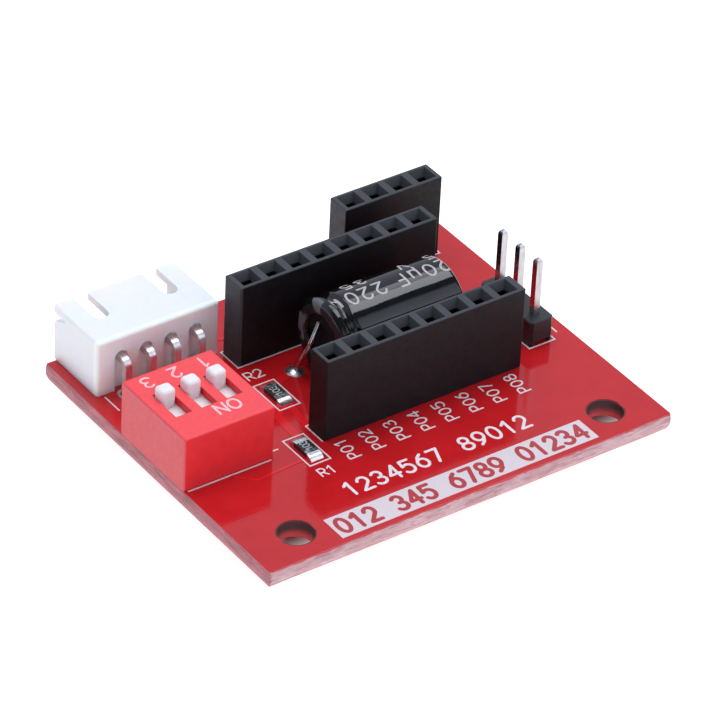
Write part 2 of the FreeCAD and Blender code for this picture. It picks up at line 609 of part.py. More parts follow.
# ------------------------------------------------------------------ the whole assembly
def build():
    """Every node's solids, by node name."""
    nodes = {"circuit_board": [circuit_board()]}
    socket_solder = []
    for row in SOCKET_ROWS:
        contacts = [socket_contact(x, y) for x, y in socket_places(row)]
        nodes[row + "_housing"] = [socket_housing(row)]
        nodes[row + "_contacts"] = contacts
        for (x, y), contact in zip(socket_places(row), contacts):
            socket_solder.append(solder_joint(x, y, PLATED_HOLE, contact))
    nodes["socket_solder"] = socket_solder

    pins = [signal_pin(x, y) for x, y in SIGNAL_PIN_PLACES]
    nodes["signal_header_insulator"] = [signal_header_insulator()]
    nodes["signal_header_pins"] = pins
    nodes["signal_header_solder"] = [
        solder_joint(x, y, PLATED_HOLE, pin) for (x, y), pin in zip(SIGNAL_PIN_PLACES, pins)]

    pins = [motor_pin(x) for x in MOTOR_PIN_XS]
    nodes["motor_connector_housing"] = [motor_connector_housing()]
    nodes["motor_connector_pins"] = pins
    nodes["motor_connector_solder"] = [
        solder_joint(x, MOTOR_LEG_Y, PLATED_HOLE, pin) for x, pin in zip(MOTOR_PIN_XS, pins)]

    terminals = [dip_terminal(x, y) for x, y in TERMINAL_PLACES]
    nodes["dip_switch_cover"] = [dip_switch_cover()]
    nodes["dip_switch_base"] = [dip_switch_base(terminals)]
    nodes["dip_switch_terminals"] = terminals
    nodes["dip_switch_solder"] = [
        solder_joint(x, y, SMALL_HOLE, leg) for (x, y), leg in zip(TERMINAL_PLACES, terminals)]
    for number, x in enumerate(reversed(DIP_XS), start=1):
        nodes["dip_slider_%d" % number] = [dip_slider(x)]
        nodes["dip_wiper_%d" % number] = [dip_wiper(x)]

    routes = lead_routes()
    leads = [round_wire(route, 0.45, LEAD_RADIUS) for route in routes]
    nodes["capacitor_can"] = [capacitor_can()]
    nodes["capacitor_sleeve"] = [capacitor_sleeve()]
    nodes["capacitor_bung"] = [capacitor_bung(leads)]
    nodes["capacitor_winding"] = [capacitor_winding()]
    nodes["capacitor_leads"] = leads
    nodes["capacitor_solder"] = [
        solder_joint(route[-1].x, route[-1].y, SMALL_HOLE, lead, crown=0.4)
        for route, lead in zip(routes, leads)]

    chip_joints = []
    for number, (x, y) in CHIP_CENTRES.items():
        nodes["resistor_%d_body" % number] = [chip_body(x, y)]
        nodes["resistor_%d_end_caps" % number] = chip_end_caps(x, y)
        chip_joints += chip_solder(x, y)
    nodes["resistor_solder"] = chip_joints
    return nodes


def main():
    os.makedirs("parts", exist_ok=True)
    for name, solids in build().items():
        shape = solids[0] if len(solids) == 1 else Part.makeCompound(solids)
        shape.exportStep("parts/%s.step" % name)


main()
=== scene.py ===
from math import atan2, ceil, cos, hypot, pi, radians, sin

import bpy
from mathutils import Matrix, Vector


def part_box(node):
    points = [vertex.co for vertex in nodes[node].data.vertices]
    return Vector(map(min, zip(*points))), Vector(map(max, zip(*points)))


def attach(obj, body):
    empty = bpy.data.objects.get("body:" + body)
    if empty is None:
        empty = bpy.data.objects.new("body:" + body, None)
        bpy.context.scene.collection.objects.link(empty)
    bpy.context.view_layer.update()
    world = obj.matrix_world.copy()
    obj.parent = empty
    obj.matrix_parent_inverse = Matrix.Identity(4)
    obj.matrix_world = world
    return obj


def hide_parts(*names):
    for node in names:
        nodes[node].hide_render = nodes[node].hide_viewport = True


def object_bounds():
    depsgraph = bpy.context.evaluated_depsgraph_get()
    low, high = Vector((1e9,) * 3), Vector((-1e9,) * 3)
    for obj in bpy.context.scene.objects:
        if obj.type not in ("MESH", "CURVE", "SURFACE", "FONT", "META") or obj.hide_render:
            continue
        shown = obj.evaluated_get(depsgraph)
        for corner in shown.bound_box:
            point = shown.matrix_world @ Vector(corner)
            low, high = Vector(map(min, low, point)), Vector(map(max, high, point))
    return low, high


# Looks for the stepper driver carrier board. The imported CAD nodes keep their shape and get
# procedural materials. Lacquer, copper, tin rims and printed marks are added as thin pieces.
# Lengths are written in millimetres, and MM turns them into the frame's metres.

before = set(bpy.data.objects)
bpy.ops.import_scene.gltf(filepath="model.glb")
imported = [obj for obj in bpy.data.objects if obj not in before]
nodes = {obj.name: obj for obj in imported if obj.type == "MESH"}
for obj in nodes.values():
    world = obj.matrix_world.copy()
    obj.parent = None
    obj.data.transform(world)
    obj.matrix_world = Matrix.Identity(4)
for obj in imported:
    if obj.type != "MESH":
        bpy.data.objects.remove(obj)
cad_low, cad_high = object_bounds()
MM = 0.001


def box_mm(node):
    """Lowest and highest corner of a CAD node in millimetres."""
    low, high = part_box(node)
    return low / MM, high / MM


def middle(low, high):
    """X and Y half way between two corners."""
    return (low.x + high.x) / 2, (low.y + high.y) / 2


def add_object(name, data):
    """A new object of the scene, made of that data."""
    made = bpy.data.objects.new(name, data)
    bpy.context.scene.collection.objects.link(made)
    return made


# ------------------------------------------------------------------ places read from the frame
BOARD_LOW, BOARD_HIGH = box_mm("circuit_board")
FRONT_LOW, FRONT_HIGH = box_mm("driver_socket_front_housing")
CONTACTS_LOW, CONTACTS_HIGH = box_mm("driver_socket_front_contacts")
REAR_LOW, REAR_HIGH = box_mm("driver_socket_rear_housing")
CONTROL_LOW, CONTROL_HIGH = box_mm("control_socket_housing")
SIGNAL_LOW, SIGNAL_HIGH = box_mm("signal_header_insulator")
MOTOR_LOW, MOTOR_HIGH = box_mm("motor_connector_housing")
MOTOR_PINS_LOW = box_mm("motor_connector_pins")[0]
DIP_LOW, DIP_HIGH = box_mm("dip_switch_cover")
SLEEVE_LOW, SLEEVE_HIGH = box_mm("capacitor_sleeve")
CHIPS = {1: box_mm("resistor_1_body"), 2: box_mm("resistor_2_body")}

TOP = BOARD_HIGH.z                  # level that the parts stand on
DRIVER_WAYS, CONTROL_WAYS, SIGNAL_WAYS, MOTOR_WAYS, DIP_WAYS = 8, 4, 3, 4, 3
PITCH, MOTOR_PITCH = 2.54, 2.5      # from one way to the next
DIP_ROWS_APART = 7.62
PIN_WIDTH = 0.64                    # of the motor connector's pins
MOUNT_HOLES = ((-15.9, -13.9), (16.1, -13.9))
MOUNT_RADIUS = 1.6
LEAD_PADS = ((-3.2, 4.88), (-2.95, 1.38))   # where the capacitor's leads pass through

MOUTH_DEPTH, MOUTH_HALF = 0.8, 0.94     # funnel mouths of the sockets, which get painted light
MASK = 0.03                         # thickness of the lacquer
COPPER = 0.035                      # how far a track stands up under the lacquer
INK = 0.012                         # thickness of the print
LEGEND_STROKE = 0.15                # width of the small printed strokes
OUTLINE_STROKE = 0.125              # and of the printed outlines
SCORE_TOP, SCORE_BOTTOM = 0.065, 0.18   # how far the lacquer stays inside the board's box


def row_centres(low, high, ways, pitch=PITCH):
    """Middle of each way of a row that lies evenly between low and high."""
    return [(low + high) / 2 + pitch * (i - (ways - 1) / 2) for i in range(ways)]


DRIVER_XS = row_centres(CONTACTS_LOW.x, CONTACTS_HIGH.x, DRIVER_WAYS)
CONTROL_XS = row_centres(CONTROL_LOW.x, CONTROL_HIGH.x, CONTROL_WAYS)
SIGNAL_YS = row_centres(SIGNAL_LOW.y, SIGNAL_HIGH.y, SIGNAL_WAYS)
FRONT_Y = (FRONT_LOW.y + FRONT_HIGH.y) / 2
REAR_Y = (REAR_LOW.y + REAR_HIGH.y) / 2
CONTROL_Y = (CONTROL_LOW.y + CONTROL_HIGH.y) / 2
SIGNAL_X = (SIGNAL_LOW.x + SIGNAL_HIGH.x) / 2
MOTOR_XS = row_centres(MOTOR_LOW.x, MOTOR_HIGH.x, MOTOR_WAYS, MOTOR_PITCH)
MOTOR_LEG_Y = MOTOR_PINS_LOW.y + PIN_WIDTH / 2
DIP_X, DIP_Y = middle(DIP_LOW, DIP_HIGH)
DIP_XS = row_centres(DIP_LOW.x, DIP_HIGH.x, DIP_WAYS)[::-1]
DIP_YS = (DIP_Y - DIP_ROWS_APART / 2, DIP_Y + DIP_ROWS_APART / 2)
SLEEVE_Y, SLEEVE_Z = (SLEEVE_LOW.y + SLEEVE_HIGH.y) / 2, (SLEEVE_LOW.z + SLEEVE_HIGH.z) / 2
(CHIP_1_X, CHIP_1_Y), (CHIP_2_X, CHIP_2_Y) = (middle(*CHIPS[number]) for number in (1, 2))


# ------------------------------------------------------------------ materials
class Paint:
    """A Principled material whose patterns are worked out in millimetres of the object."""

    def __init__(self, name, color, roughness, metallic=0.0, **sockets):
        self.material = bpy.data.materials.new(name)
        self.material.use_nodes = True
        self.tree = self.material.node_tree
        self.shader = self.tree.nodes["Principled BSDF"]
        self.set("Base Color", (*color, 1))
        self.set("Roughness", roughness)
        self.set("Metallic", metallic)
        for socket, value in sockets.items():
            self.set(socket.replace("_", " "), value)
        self.normal = None

    def set(self, socket, value):
        self.shader.inputs[socket].default_value = value

    def node(self, kind, **values):
        made = self.tree.nodes.new(kind)
        for name, value in values.items():
            setattr(made, name, value)
        return made

    def link(self, source, target):
        self.tree.links.new(source, target)

    def place(self, stretch=(1, 1, 1)):
        """Object coordinates in millimetres, stretched per axis."""
        coordinates = self.node("ShaderNodeTexCoord")
        mapping = self.node("ShaderNodeMapping")
        mapping.inputs["Scale"].default_value = [s / MM for s in stretch]
        self.link(coordinates.outputs["Object"], mapping.inputs["Vector"])
        return mapping.outputs["Vector"]

    def axes(self):
        """X, Y and Z of the place in millimetres."""
        parted = self.node("ShaderNodeSeparateXYZ")
        self.link(self.place(), parted.inputs["Vector"])
        return [parted.outputs[k] for k in "XYZ"]

    def noise(self, scale, detail=3.0, stretch=(1, 1, 1), rough=0.55):
        made = self.node("ShaderNodeTexNoise")
        made.inputs["Scale"].default_value = scale
        made.inputs["Detail"].default_value = detail
        made.inputs["Roughness"].default_value = rough
        self.link(self.place(stretch), made.inputs["Vector"])
        return made.outputs["Fac"]

    def wave(self, scale, direction, distortion=0.0):
        made = self.node("ShaderNodeTexWave", bands_direction=direction)
        made.inputs["Scale"].default_value = scale
        made.inputs["Distortion"].default_value = distortion
        made.inputs["Detail"].default_value = 2
        self.link(self.place(), made.inputs["Vector"])
        return made.outputs["Fac"]

    def math(self, operation, a, b):
        made = self.node("ShaderNodeMath", operation=operation)
        for socket, value in zip(made.inputs, (a, b)):
            if isinstance(value, (int, float)):
                socket.default_value = value
            else:
                self.link(value, socket)
        return made.outputs["Value"]

    def below(self, value, limit):
        return self.math("LESS_THAN", value, limit)

    def above(self, value, limit):
        return self.math("GREATER_THAN", value, limit)

    def both(self, a, b):
        return self.math("MULTIPLY", a, b)

    def either(self, a, b):
        return self.math("MAXIMUM", a, b)

    def distance(self, a, b):
        return self.math("ABSOLUTE", self.math("SUBTRACT", a, b), 0)

    def ramp(self, factor, stops):
        """Colour stops, each (position, (r, g, b))."""
        made = self.node("ShaderNodeValToRGB")
        elements = made.color_ramp.elements
        while len(elements) < len(stops):
            elements.new(0.5)
        for element, (position, color) in zip(elements, stops):
            element.position = position
            element.color = (*color, 1)
        self.link(factor, made.inputs["Fac"])
        return made.outputs["Color"]

    def mix(self, factor, a, b):
        made = self.node("ShaderNodeMix", data_type="RGBA")
        self.link(factor, made.inputs["Factor"])
        colors = [s for s in made.inputs if s.type == "RGBA"]
        for socket, value in zip(colors, (a, b)):
            if isinstance(value, tuple):
                socket.default_value = (*value, 1)
            else:
                self.link(value, socket)
        return next(s for s in made.outputs if s.type == "RGBA")

    def range(self, factor, low, high):
        """A pattern, which mostly lies between 0.3 and 0.7, spread from low to high."""
        made = self.node("ShaderNodeMapRange")
        made.inputs["From Min"].default_value = 0.3
        made.inputs["From Max"].default_value = 0.7
        made.inputs["To Min"].default_value = low
        made.inputs["To Max"].default_value = high
        self.link(factor, made.inputs["Value"])
        return made.outputs["Result"]

    def color(self, source):
        self.link(source, self.shader.inputs["Base Color"])

    def rough(self, factor, low, high):
        self.link(self.range(factor, low, high), self.shader.inputs["Roughness"])

    def bump(self, height, depth):
        """Relief of that depth in millimetres. Several reliefs add up."""
        made = self.node("ShaderNodeBump")
        made.inputs["Strength"].default_value = 1.0
        made.inputs["Distance"].default_value = depth * MM
        self.link(height, made.inputs["Height"])
        if self.normal is not None:
            self.link(self.normal, made.inputs["Normal"])
        self.normal = made.outputs["Normal"]
        self.link(self.normal, self.shader.inputs["Normal"])


def lacquer(name, dark, light, roughness):
    """Glossy red lacquer over glass cloth: slight clouding, weave and orange peel."""
    paint = Paint(name, light, roughness, IOR=1.5)
    clouds = paint.noise(0.35, 4)
    paint.color(paint.ramp(clouds, ((0.3, dark), (0.7, light))))
    paint.rough(paint.noise(1.4, 3), roughness * 0.75, roughness * 1.35)
    weave = paint.math("MULTIPLY", paint.wave(0.9, "X", 0.4), paint.wave(0.9, "Y", 0.4))
    paint.bump(weave, 0.0012)
    paint.bump(paint.noise(0.8, 2), 0.004)
    paint.bump(paint.noise(9, 2), 0.0006)
    return paint.material


def plastic(name, dark, light, roughness, grain=0.003, grain_scale=6, **sockets):
    """Moulded plastic: slight clouding, fine spark-eroded grain and uneven gloss."""
    paint = Paint(name, light, roughness, **sockets)
    paint.color(paint.ramp(paint.noise(0.9, 5), ((0.32, dark), (0.68, light))))
    paint.rough(paint.noise(2.2, 4), roughness * 0.85, roughness * 1.2)
    paint.bump(paint.noise(0.5, 2), 0.01)
    paint.bump(paint.noise(grain_scale, 3), grain)
    return paint.material


def metal(name, dark, light, roughness, scale=3.0, relief=0.004, stretch=(1, 1, 1)):
    """Plated metal with cloudy tint, uneven gloss and fine drawing marks."""
    paint = Paint(name, light, roughness, metallic=1.0)
    paint.color(paint.ramp(paint.noise(scale, 4, stretch), ((0.3, dark), (0.7, light))))
    paint.rough(paint.noise(scale * 2, 4, stretch), roughness * 0.7, roughness * 1.4)
    paint.bump(paint.noise(scale * 1.5, 3, stretch), relief)
    return paint.material


def glass_fibre():
    """Sawn edge of the board: layers of glass cloth in pale resin, tinted by the lacquer, which
    runs over the top of the edge and down the left side. The walls of the mounting holes get
    painted shade above and painted red light below."""
    paint = Paint("glass_fibre_edge", (0.8, 0.5, 0.55), 0.55)
    fibres = paint.noise(1.1, 7, (0.45, 0.45, 3.2), 0.75)
    color = paint.ramp(fibres, ((0.34, (0.27, 0.10, 0.115)), (0.45, (0.53, 0.27, 0.29)),
                                (0.56, (0.75, 0.53, 0.54)), (0.70, (0.46, 0.21, 0.23))))
    patches = paint.range(paint.noise(0.3, 5, (1, 1, 1.6)), 0.0, 0.75)
    tinted = paint.mix(patches, color, (0.53, 0.265, 0.285))
    across, along, height = paint.axes()
    wander = paint.math("MULTIPLY", paint.math("SUBTRACT", paint.noise(0.9, 4), 0.5), 0.35)
    edge_height = paint.math("ADD", height, wander)
    lacquer_run, left_side, bore_clearance = 0.2, 0.25, 0.05
    front_of_bores, rear_of_bores = BOARD_LOW.y + 0.5, MOUNT_HOLES[0][1] + 2.5
    with_seam = paint.mix(paint.above(edge_height, TOP - lacquer_run), tinted, (0.60, 0.045, 0.055))
    on_left = paint.math("MULTIPLY", paint.below(across, BOARD_LOW.x + left_side), 0.85)
    left_tint = paint.ramp(fibres, ((0.38, (0.22, 0.07, 0.08)), (0.62, (0.66, 0.17, 0.21))))
    edge = paint.mix(on_left, with_seam, left_tint)
    in_bores = paint.either(*(paint.below(paint.distance(across, x), MOUNT_RADIUS + bore_clearance)
                              for x, _ in MOUNT_HOLES))
    in_bores = paint.both(in_bores, paint.above(along, front_of_bores))
    in_bores = paint.both(in_bores, paint.below(along, rear_of_bores))
    # Painted shade on the upper bore walls and painted red light on the lower ones, by height.
    depth = paint.math("MULTIPLY", edge_height, 1 / TOP)
    bore_painted_light = paint.ramp(depth, ((0.20, (0.58, 0.030, 0.036)), (0.42, (0.22, 0.018, 0.022)),
                              (0.62, (0.050, 0.008, 0.010)), (0.95, (0.075, 0.009, 0.012))))
    paint.color(paint.mix(in_bores, edge, bore_painted_light))
    paint.rough(fibres, 0.4, 0.7)
    paint.bump(paint.noise(1.3, 7, (0.5, 0.5, 3.4), 0.75), 0.09)
    paint.bump(paint.noise(5, 4), 0.02)
    return paint.material


def socket_plastic(name, low, high, row_lines):
    """Black moulded strip with smooth dark sides. Painted light gives a paler tone on top and in the
    funnel mouths along the row lines, and a painted reflection gives the same tone to the ends of
    the strips at the rear."""
    paint = Paint(name, (0.008, 0.008, 0.009), 0.5, Specular_IOR_Level=0.24)
    side = paint.ramp(paint.noise(0.9, 5), ((0.32, (0.0050, 0.0048, 0.0056)),
                                            (0.68, (0.0085, 0.0080, 0.0094))))
    # skin is the paler tone used for painted light and painted reflection.
    skin = paint.ramp(paint.noise(5, 4), ((0.3, (0.044, 0.046, 0.053)), (0.7, (0.056, 0.058, 0.066))))
    across, along, height = paint.axes()
    end_wall, end_face_depth, top_depth = 0.2, 0.05, 0.06
    ends = paint.either(paint.below(across, low.x + end_wall), paint.above(across, high.x - end_wall))
    end_faces = paint.either(paint.below(across, low.x + end_face_depth), paint.above(across, high.x - end_face_depth))
    rear_end_painted_reflection = paint.both(end_faces, paint.above(along, FRONT_HIGH.y + 1))
    # Painted light on the tops and in the mouths, painted reflection on the rear ends.
    pale = paint.either(rear_end_painted_reflection, paint.above(height, high.z - top_depth))
    in_mouth = paint.both(paint.above(height, high.z - MOUTH_DEPTH), paint.math("SUBTRACT", 1, ends))
    for y in row_lines:
        mouth = paint.both(in_mouth, paint.below(paint.distance(along, y), MOUTH_HALF))
        pale = paint.either(pale, mouth)
    paint.color(paint.mix(pale, side, skin))
    paint.rough(paint.noise(2.2, 4), 0.42, 0.6)
    paint.bump(paint.noise(0.5, 2), 0.01)
    paint.bump(paint.noise(6, 3), 0.004)
    return paint.material


def connector_nylon():
    """White nylon, cloudy and a little translucent. On the wall that the pins come out of, a greenish
    tint is painted to take out the red bounce light from the board."""
    paint = Paint("connector_nylon_white", (0.8, 0.82, 0.84), 0.42, Subsurface_Weight=0.5,
                  Subsurface_Scale=0.0016)
    clouds = paint.noise(0.9, 5)
    body = paint.ramp(clouds, ((0.32, (0.80, 0.815, 0.835)), (0.68, (0.82, 0.835, 0.855))))
    painted_counter_bounce = paint.ramp(clouds, ((0.32, (0.84, 0.93, 0.90)), (0.68, (0.87, 0.96, 0.93))))
    _, along, _ = paint.axes()
    # Painted correction of light: the pin wall's greenish tint takes out the red bounce from the board.
    pin_wall = 0.55
    paint.color(paint.mix(paint.below(along, MOTOR_LOW.y + pin_wall), body, painted_counter_bounce))
    paint.rough(paint.noise(2.2, 4), 0.36, 0.5)
    paint.bump(paint.noise(0.5, 2), 0.01)
    paint.bump(paint.noise(5, 3), 0.001)
    return paint.material


def switch_shell():
    """Red moulded shell with painted light, paler and speckled, on its top and its left side."""
    paint = Paint("switch_shell_red", (0.8, 0.02, 0.03), 0.48, Subsurface_Weight=0.08,
                  Subsurface_Scale=0.0006)
    across, _, height = paint.axes()
    side = paint.ramp(paint.noise(0.9, 5), ((0.32, (0.74, 0.016, 0.022)),
                                            (0.68, (0.82, 0.022, 0.030))))
    speckle = paint.noise(6, 5, rough=0.7)
    top_painted_light = paint.ramp(speckle, ((0.3, (0.86, 0.046, 0.056)), (0.7, (0.94, 0.062, 0.074))))
    left_painted_light = paint.ramp(speckle, ((0.3, (0.66, 0.058, 0.072)), (0.7, (0.76, 0.088, 0.104))))
    # Painted light: paler, speckled tones on the top and the left side, within this depth.
    skin = 0.1
    on_top = paint.above(height, DIP_HIGH.z - skin)
    on_left = paint.below(across, DIP_LOW.x + skin)
    paint.color(paint.mix(on_left, paint.mix(on_top, side, top_painted_light), left_painted_light))
    paint.rough(paint.noise(2.2, 4), 0.41, 0.58)
    paint.bump(paint.noise(0.5, 2), 0.01)
    paint.bump(paint.noise(8, 3), 0.0025)
    return paint.material


def shrink_film():
    """Glossy black shrink sleeve: nearly smooth film with faint pulls along its length. The end
    of its lip is dull, and on the rear side the lip has pale crescent-shaped painted highlights."""
    paint = Paint("shrink_film_black", (0.004, 0.004, 0.005), 0.07, Specular_IOR_Level=0.5)
    film = paint.ramp(paint.noise(0.8, 3), ((0.3, (0.002, 0.002, 0.003)),
                                            (0.7, (0.006, 0.006, 0.007))))
    across, along, _ = paint.axes()
    lip_length, end_depth, rearward = 0.42, 0.03, 0.4
    at_lip = paint.below(across, SLEEVE_LOW.x + lip_length)
    at_rear = paint.above(along, SLEEVE_Y + rearward)
    # Pale crescent-shaped painted highlights on the rear of the lip, which are also dulled.
    patches = paint.ramp(paint.noise(0.42, 2), ((0.49, (0, 0, 0)), (0.53, (1, 1, 1))))
    painted_highlights = paint.both(paint.both(at_lip, at_rear), patches)
    paint.color(paint.mix(painted_highlights, film, (0.125, 0.135, 0.148)))
    gloss = paint.range(paint.noise(1.5, 3, (0.3, 1, 1)), 0.04, 0.10)
    dull_end = paint.math("MULTIPLY", paint.below(across, SLEEVE_LOW.x + end_depth), 0.55)
    dull = paint.either(dull_end, paint.math("MULTIPLY", painted_highlights, 0.4))
    paint.link(paint.either(gloss, dull), paint.shader.inputs["Roughness"])
    paint.bump(paint.noise(0.55, 2, (0.25, 1, 1)), 0.02)
    paint.bump(paint.noise(3.0, 3, (0.4, 1, 1)), 0.002)
    return paint.material


def ink(name, dark, light, roughness=0.5):
    """Print: uneven coverage, fine grain and a soft sheen."""
    paint = Paint(name, light, roughness)
    paint.color(paint.ramp(paint.noise(5, 5, rough=0.7), ((0.28, dark), (0.6, light))))
    paint.rough(paint.noise(3, 2), roughness * 0.8, roughness * 1.2)
    paint.bump(paint.noise(12, 3), 0.002)
    return paint.material


def rubber():
    """Matt black rubber of the capacitor's bung."""
    paint = Paint("bung_rubber", (0.02, 0.02, 0.02), 0.7)
    paint.color(paint.ramp(paint.noise(2, 5), ((0.3, (0.006, 0.006, 0.006)),
                                               (0.7, (0.012, 0.012, 0.013)))))
    paint.set("Specular IOR Level", 0.2)
    paint.rough(paint.noise(4, 3), 0.6, 0.8)
    paint.bump(paint.noise(7, 4), 0.01)
    return paint.material


def foil():
    """Layers of foil and paper in the capacitor's winding."""
    paint = Paint("winding_foil", (0.5, 0.45, 0.36), 0.45, metallic=0.4)
    layers = paint.wave(2.5, "Z", 0.3)
    paint.color(paint.ramp(layers, ((0.3, (0.30, 0.25, 0.18)), (0.7, (0.62, 0.58, 0.50)))))
    paint.rough(paint.noise(3, 3), 0.35, 0.55)
    paint.bump(layers, 0.02)
    return paint.material


def chip_ceramic():
    """Dark glaze of a chip resistor."""
    paint = Paint("chip_glaze", (0.03, 0.035, 0.035), 0.3)
    paint.color(paint.ramp(paint.noise(3, 5), ((0.3, (0.010, 0.012, 0.013)),
                                               (0.7, (0.030, 0.034, 0.035)))))
    paint.rough(paint.noise(4, 3), 0.22, 0.42)
    paint.bump(paint.noise(2.5, 3), 0.006)
    return paint.material


MASK_RED = lacquer("lacquer_red", (0.50, 0.0095, 0.0125), (0.57, 0.0125, 0.0165), 0.085)
TRACK_RED = lacquer("lacquer_over_copper", (0.63, 0.0105, 0.0135), (0.73, 0.0145, 0.0185), 0.075)
FIBRE = glass_fibre()
SOCKET = socket_plastic("socket_plastic_black", FRONT_LOW, FRONT_HIGH, (FRONT_Y, REAR_Y))
CONTROL_SOCKET = socket_plastic("control_plastic_black", CONTROL_LOW, CONTROL_HIGH, (CONTROL_Y,))
HEADER = plastic("header_plastic_black", (0.0080, 0.0082, 0.0090), (0.0140, 0.0145, 0.0160), 0.45,
                 Specular_IOR_Level=0.5)
CONTACT = metal("contact_plated", (0.40, 0.36, 0.30), (0.66, 0.62, 0.55), 0.3)
PIN = metal("pin_tin", (0.46, 0.44, 0.45), (0.62, 0.59, 0.60), 0.2, 4.0, 0.003, (1, 1, 0.3))
MOTOR_PIN = metal("motor_pin_tin", (0.66, 0.64, 0.65), (0.84, 0.82, 0.83), 0.36, 4.0, 0.004, (1, 1, 0.3))
SOLDER = metal("solder_bright", (0.66, 0.66, 0.67), (0.90, 0.90, 0.90), 0.34, 1.6, 0.03)
NYLON = connector_nylon()
SWITCH_RED = switch_shell()
SWITCH_BASE = plastic("switch_base_black", (0.010, 0.010, 0.011), (0.020, 0.020, 0.021), 0.5)
KNOB_WHITE = plastic("slider_plastic_white", (0.80, 0.77, 0.78), (0.87, 0.84, 0.85), 0.38, 0.002, 7,
                     Subsurface_Weight=0.2, Subsurface_Scale=0.0008)
BRASS = metal("contact_brass", (0.42, 0.28, 0.10), (0.66, 0.47, 0.20), 0.28)
CAN = metal("can_aluminium", (0.66, 0.66, 0.67), (0.82, 0.82, 0.83), 0.3, 2.5, 0.01, (1, 3, 3))
FILM = shrink_film()
RUBBER = rubber()
FOIL = foil()
GLAZE = chip_ceramic()
CHIP_TIN = metal("chip_end_tin", (0.66, 0.66, 0.67), (0.88, 0.88, 0.88), 0.22, 3.0, 0.012)
LEGEND = ink("legend_white", (0.66, 0.58, 0.60), (0.84, 0.78, 0.80))
LABEL = ink("label_white", (0.65, 0.57, 0.59), (0.71, 0.62, 0.64), 0.6)
LABEL_RED = ink("label_figures_red", (0.36, 0.012, 0.020), (0.48, 0.025, 0.035), 0.4)
SLEEVE_INK = ink("sleeve_figures", (0.32, 0.27, 0.27), (0.52, 0.46, 0.46), 0.45)
SWITCH_INK = ink("switch_figures", (0.80, 0.42, 0.44), (0.90, 0.55, 0.57), 0.45)
CHIP_INK = ink("chip_figures", (0.36, 0.42, 0.42), (0.60, 0.66, 0.66), 0.5)

NODE_PAINT = {
    "circuit_board": FIBRE,
    "driver_socket_front_housing": SOCKET, "driver_socket_rear_housing": SOCKET,
    "control_socket_housing": CONTROL_SOCKET, "signal_header_insulator": HEADER,
    "driver_socket_front_contacts": CONTACT, "driver_socket_rear_contacts": CONTACT,
    "control_socket_contacts": CONTACT,
    "signal_header_pins": PIN, "motor_connector_pins": MOTOR_PIN, "capacitor_leads": PIN,
    "socket_solder": SOLDER, "signal_header_solder": SOLDER, "motor_connector_solder": SOLDER,
    "dip_switch_solder": SOLDER, "capacitor_solder": SOLDER, "resistor_solder": SOLDER,
    "motor_connector_housing": NYLON,
    "dip_switch_cover": SWITCH_RED, "dip_switch_base": SWITCH_BASE, "dip_switch_terminals": BRASS,
    "dip_slider_1": KNOB_WHITE, "dip_slider_2": KNOB_WHITE, "dip_slider_3": KNOB_WHITE,
    "dip_wiper_1": BRASS, "dip_wiper_2": BRASS, "dip_wiper_3": BRASS,
    "capacitor_can": CAN, "capacitor_sleeve": FILM, "capacitor_bung": RUBBER,
    "capacitor_winding": FOIL,
    "resistor_1_body": GLAZE, "resistor_2_body": GLAZE,
    "resistor_1_end_caps": CHIP_TIN, "resistor_2_end_caps": CHIP_TIN,
}
for name, node in nodes.items():
    node.data.materials.clear()
    node.data.materials.append(NODE_PAINT[name])


# ------------------------------------------------------------------ thin pieces
def flat_on(level, side=1):
    """Placing of (u, v, height) on a level of the board. Side -1 is its underside."""
    return lambda u, v, h: Vector((u, v, level + side * h))


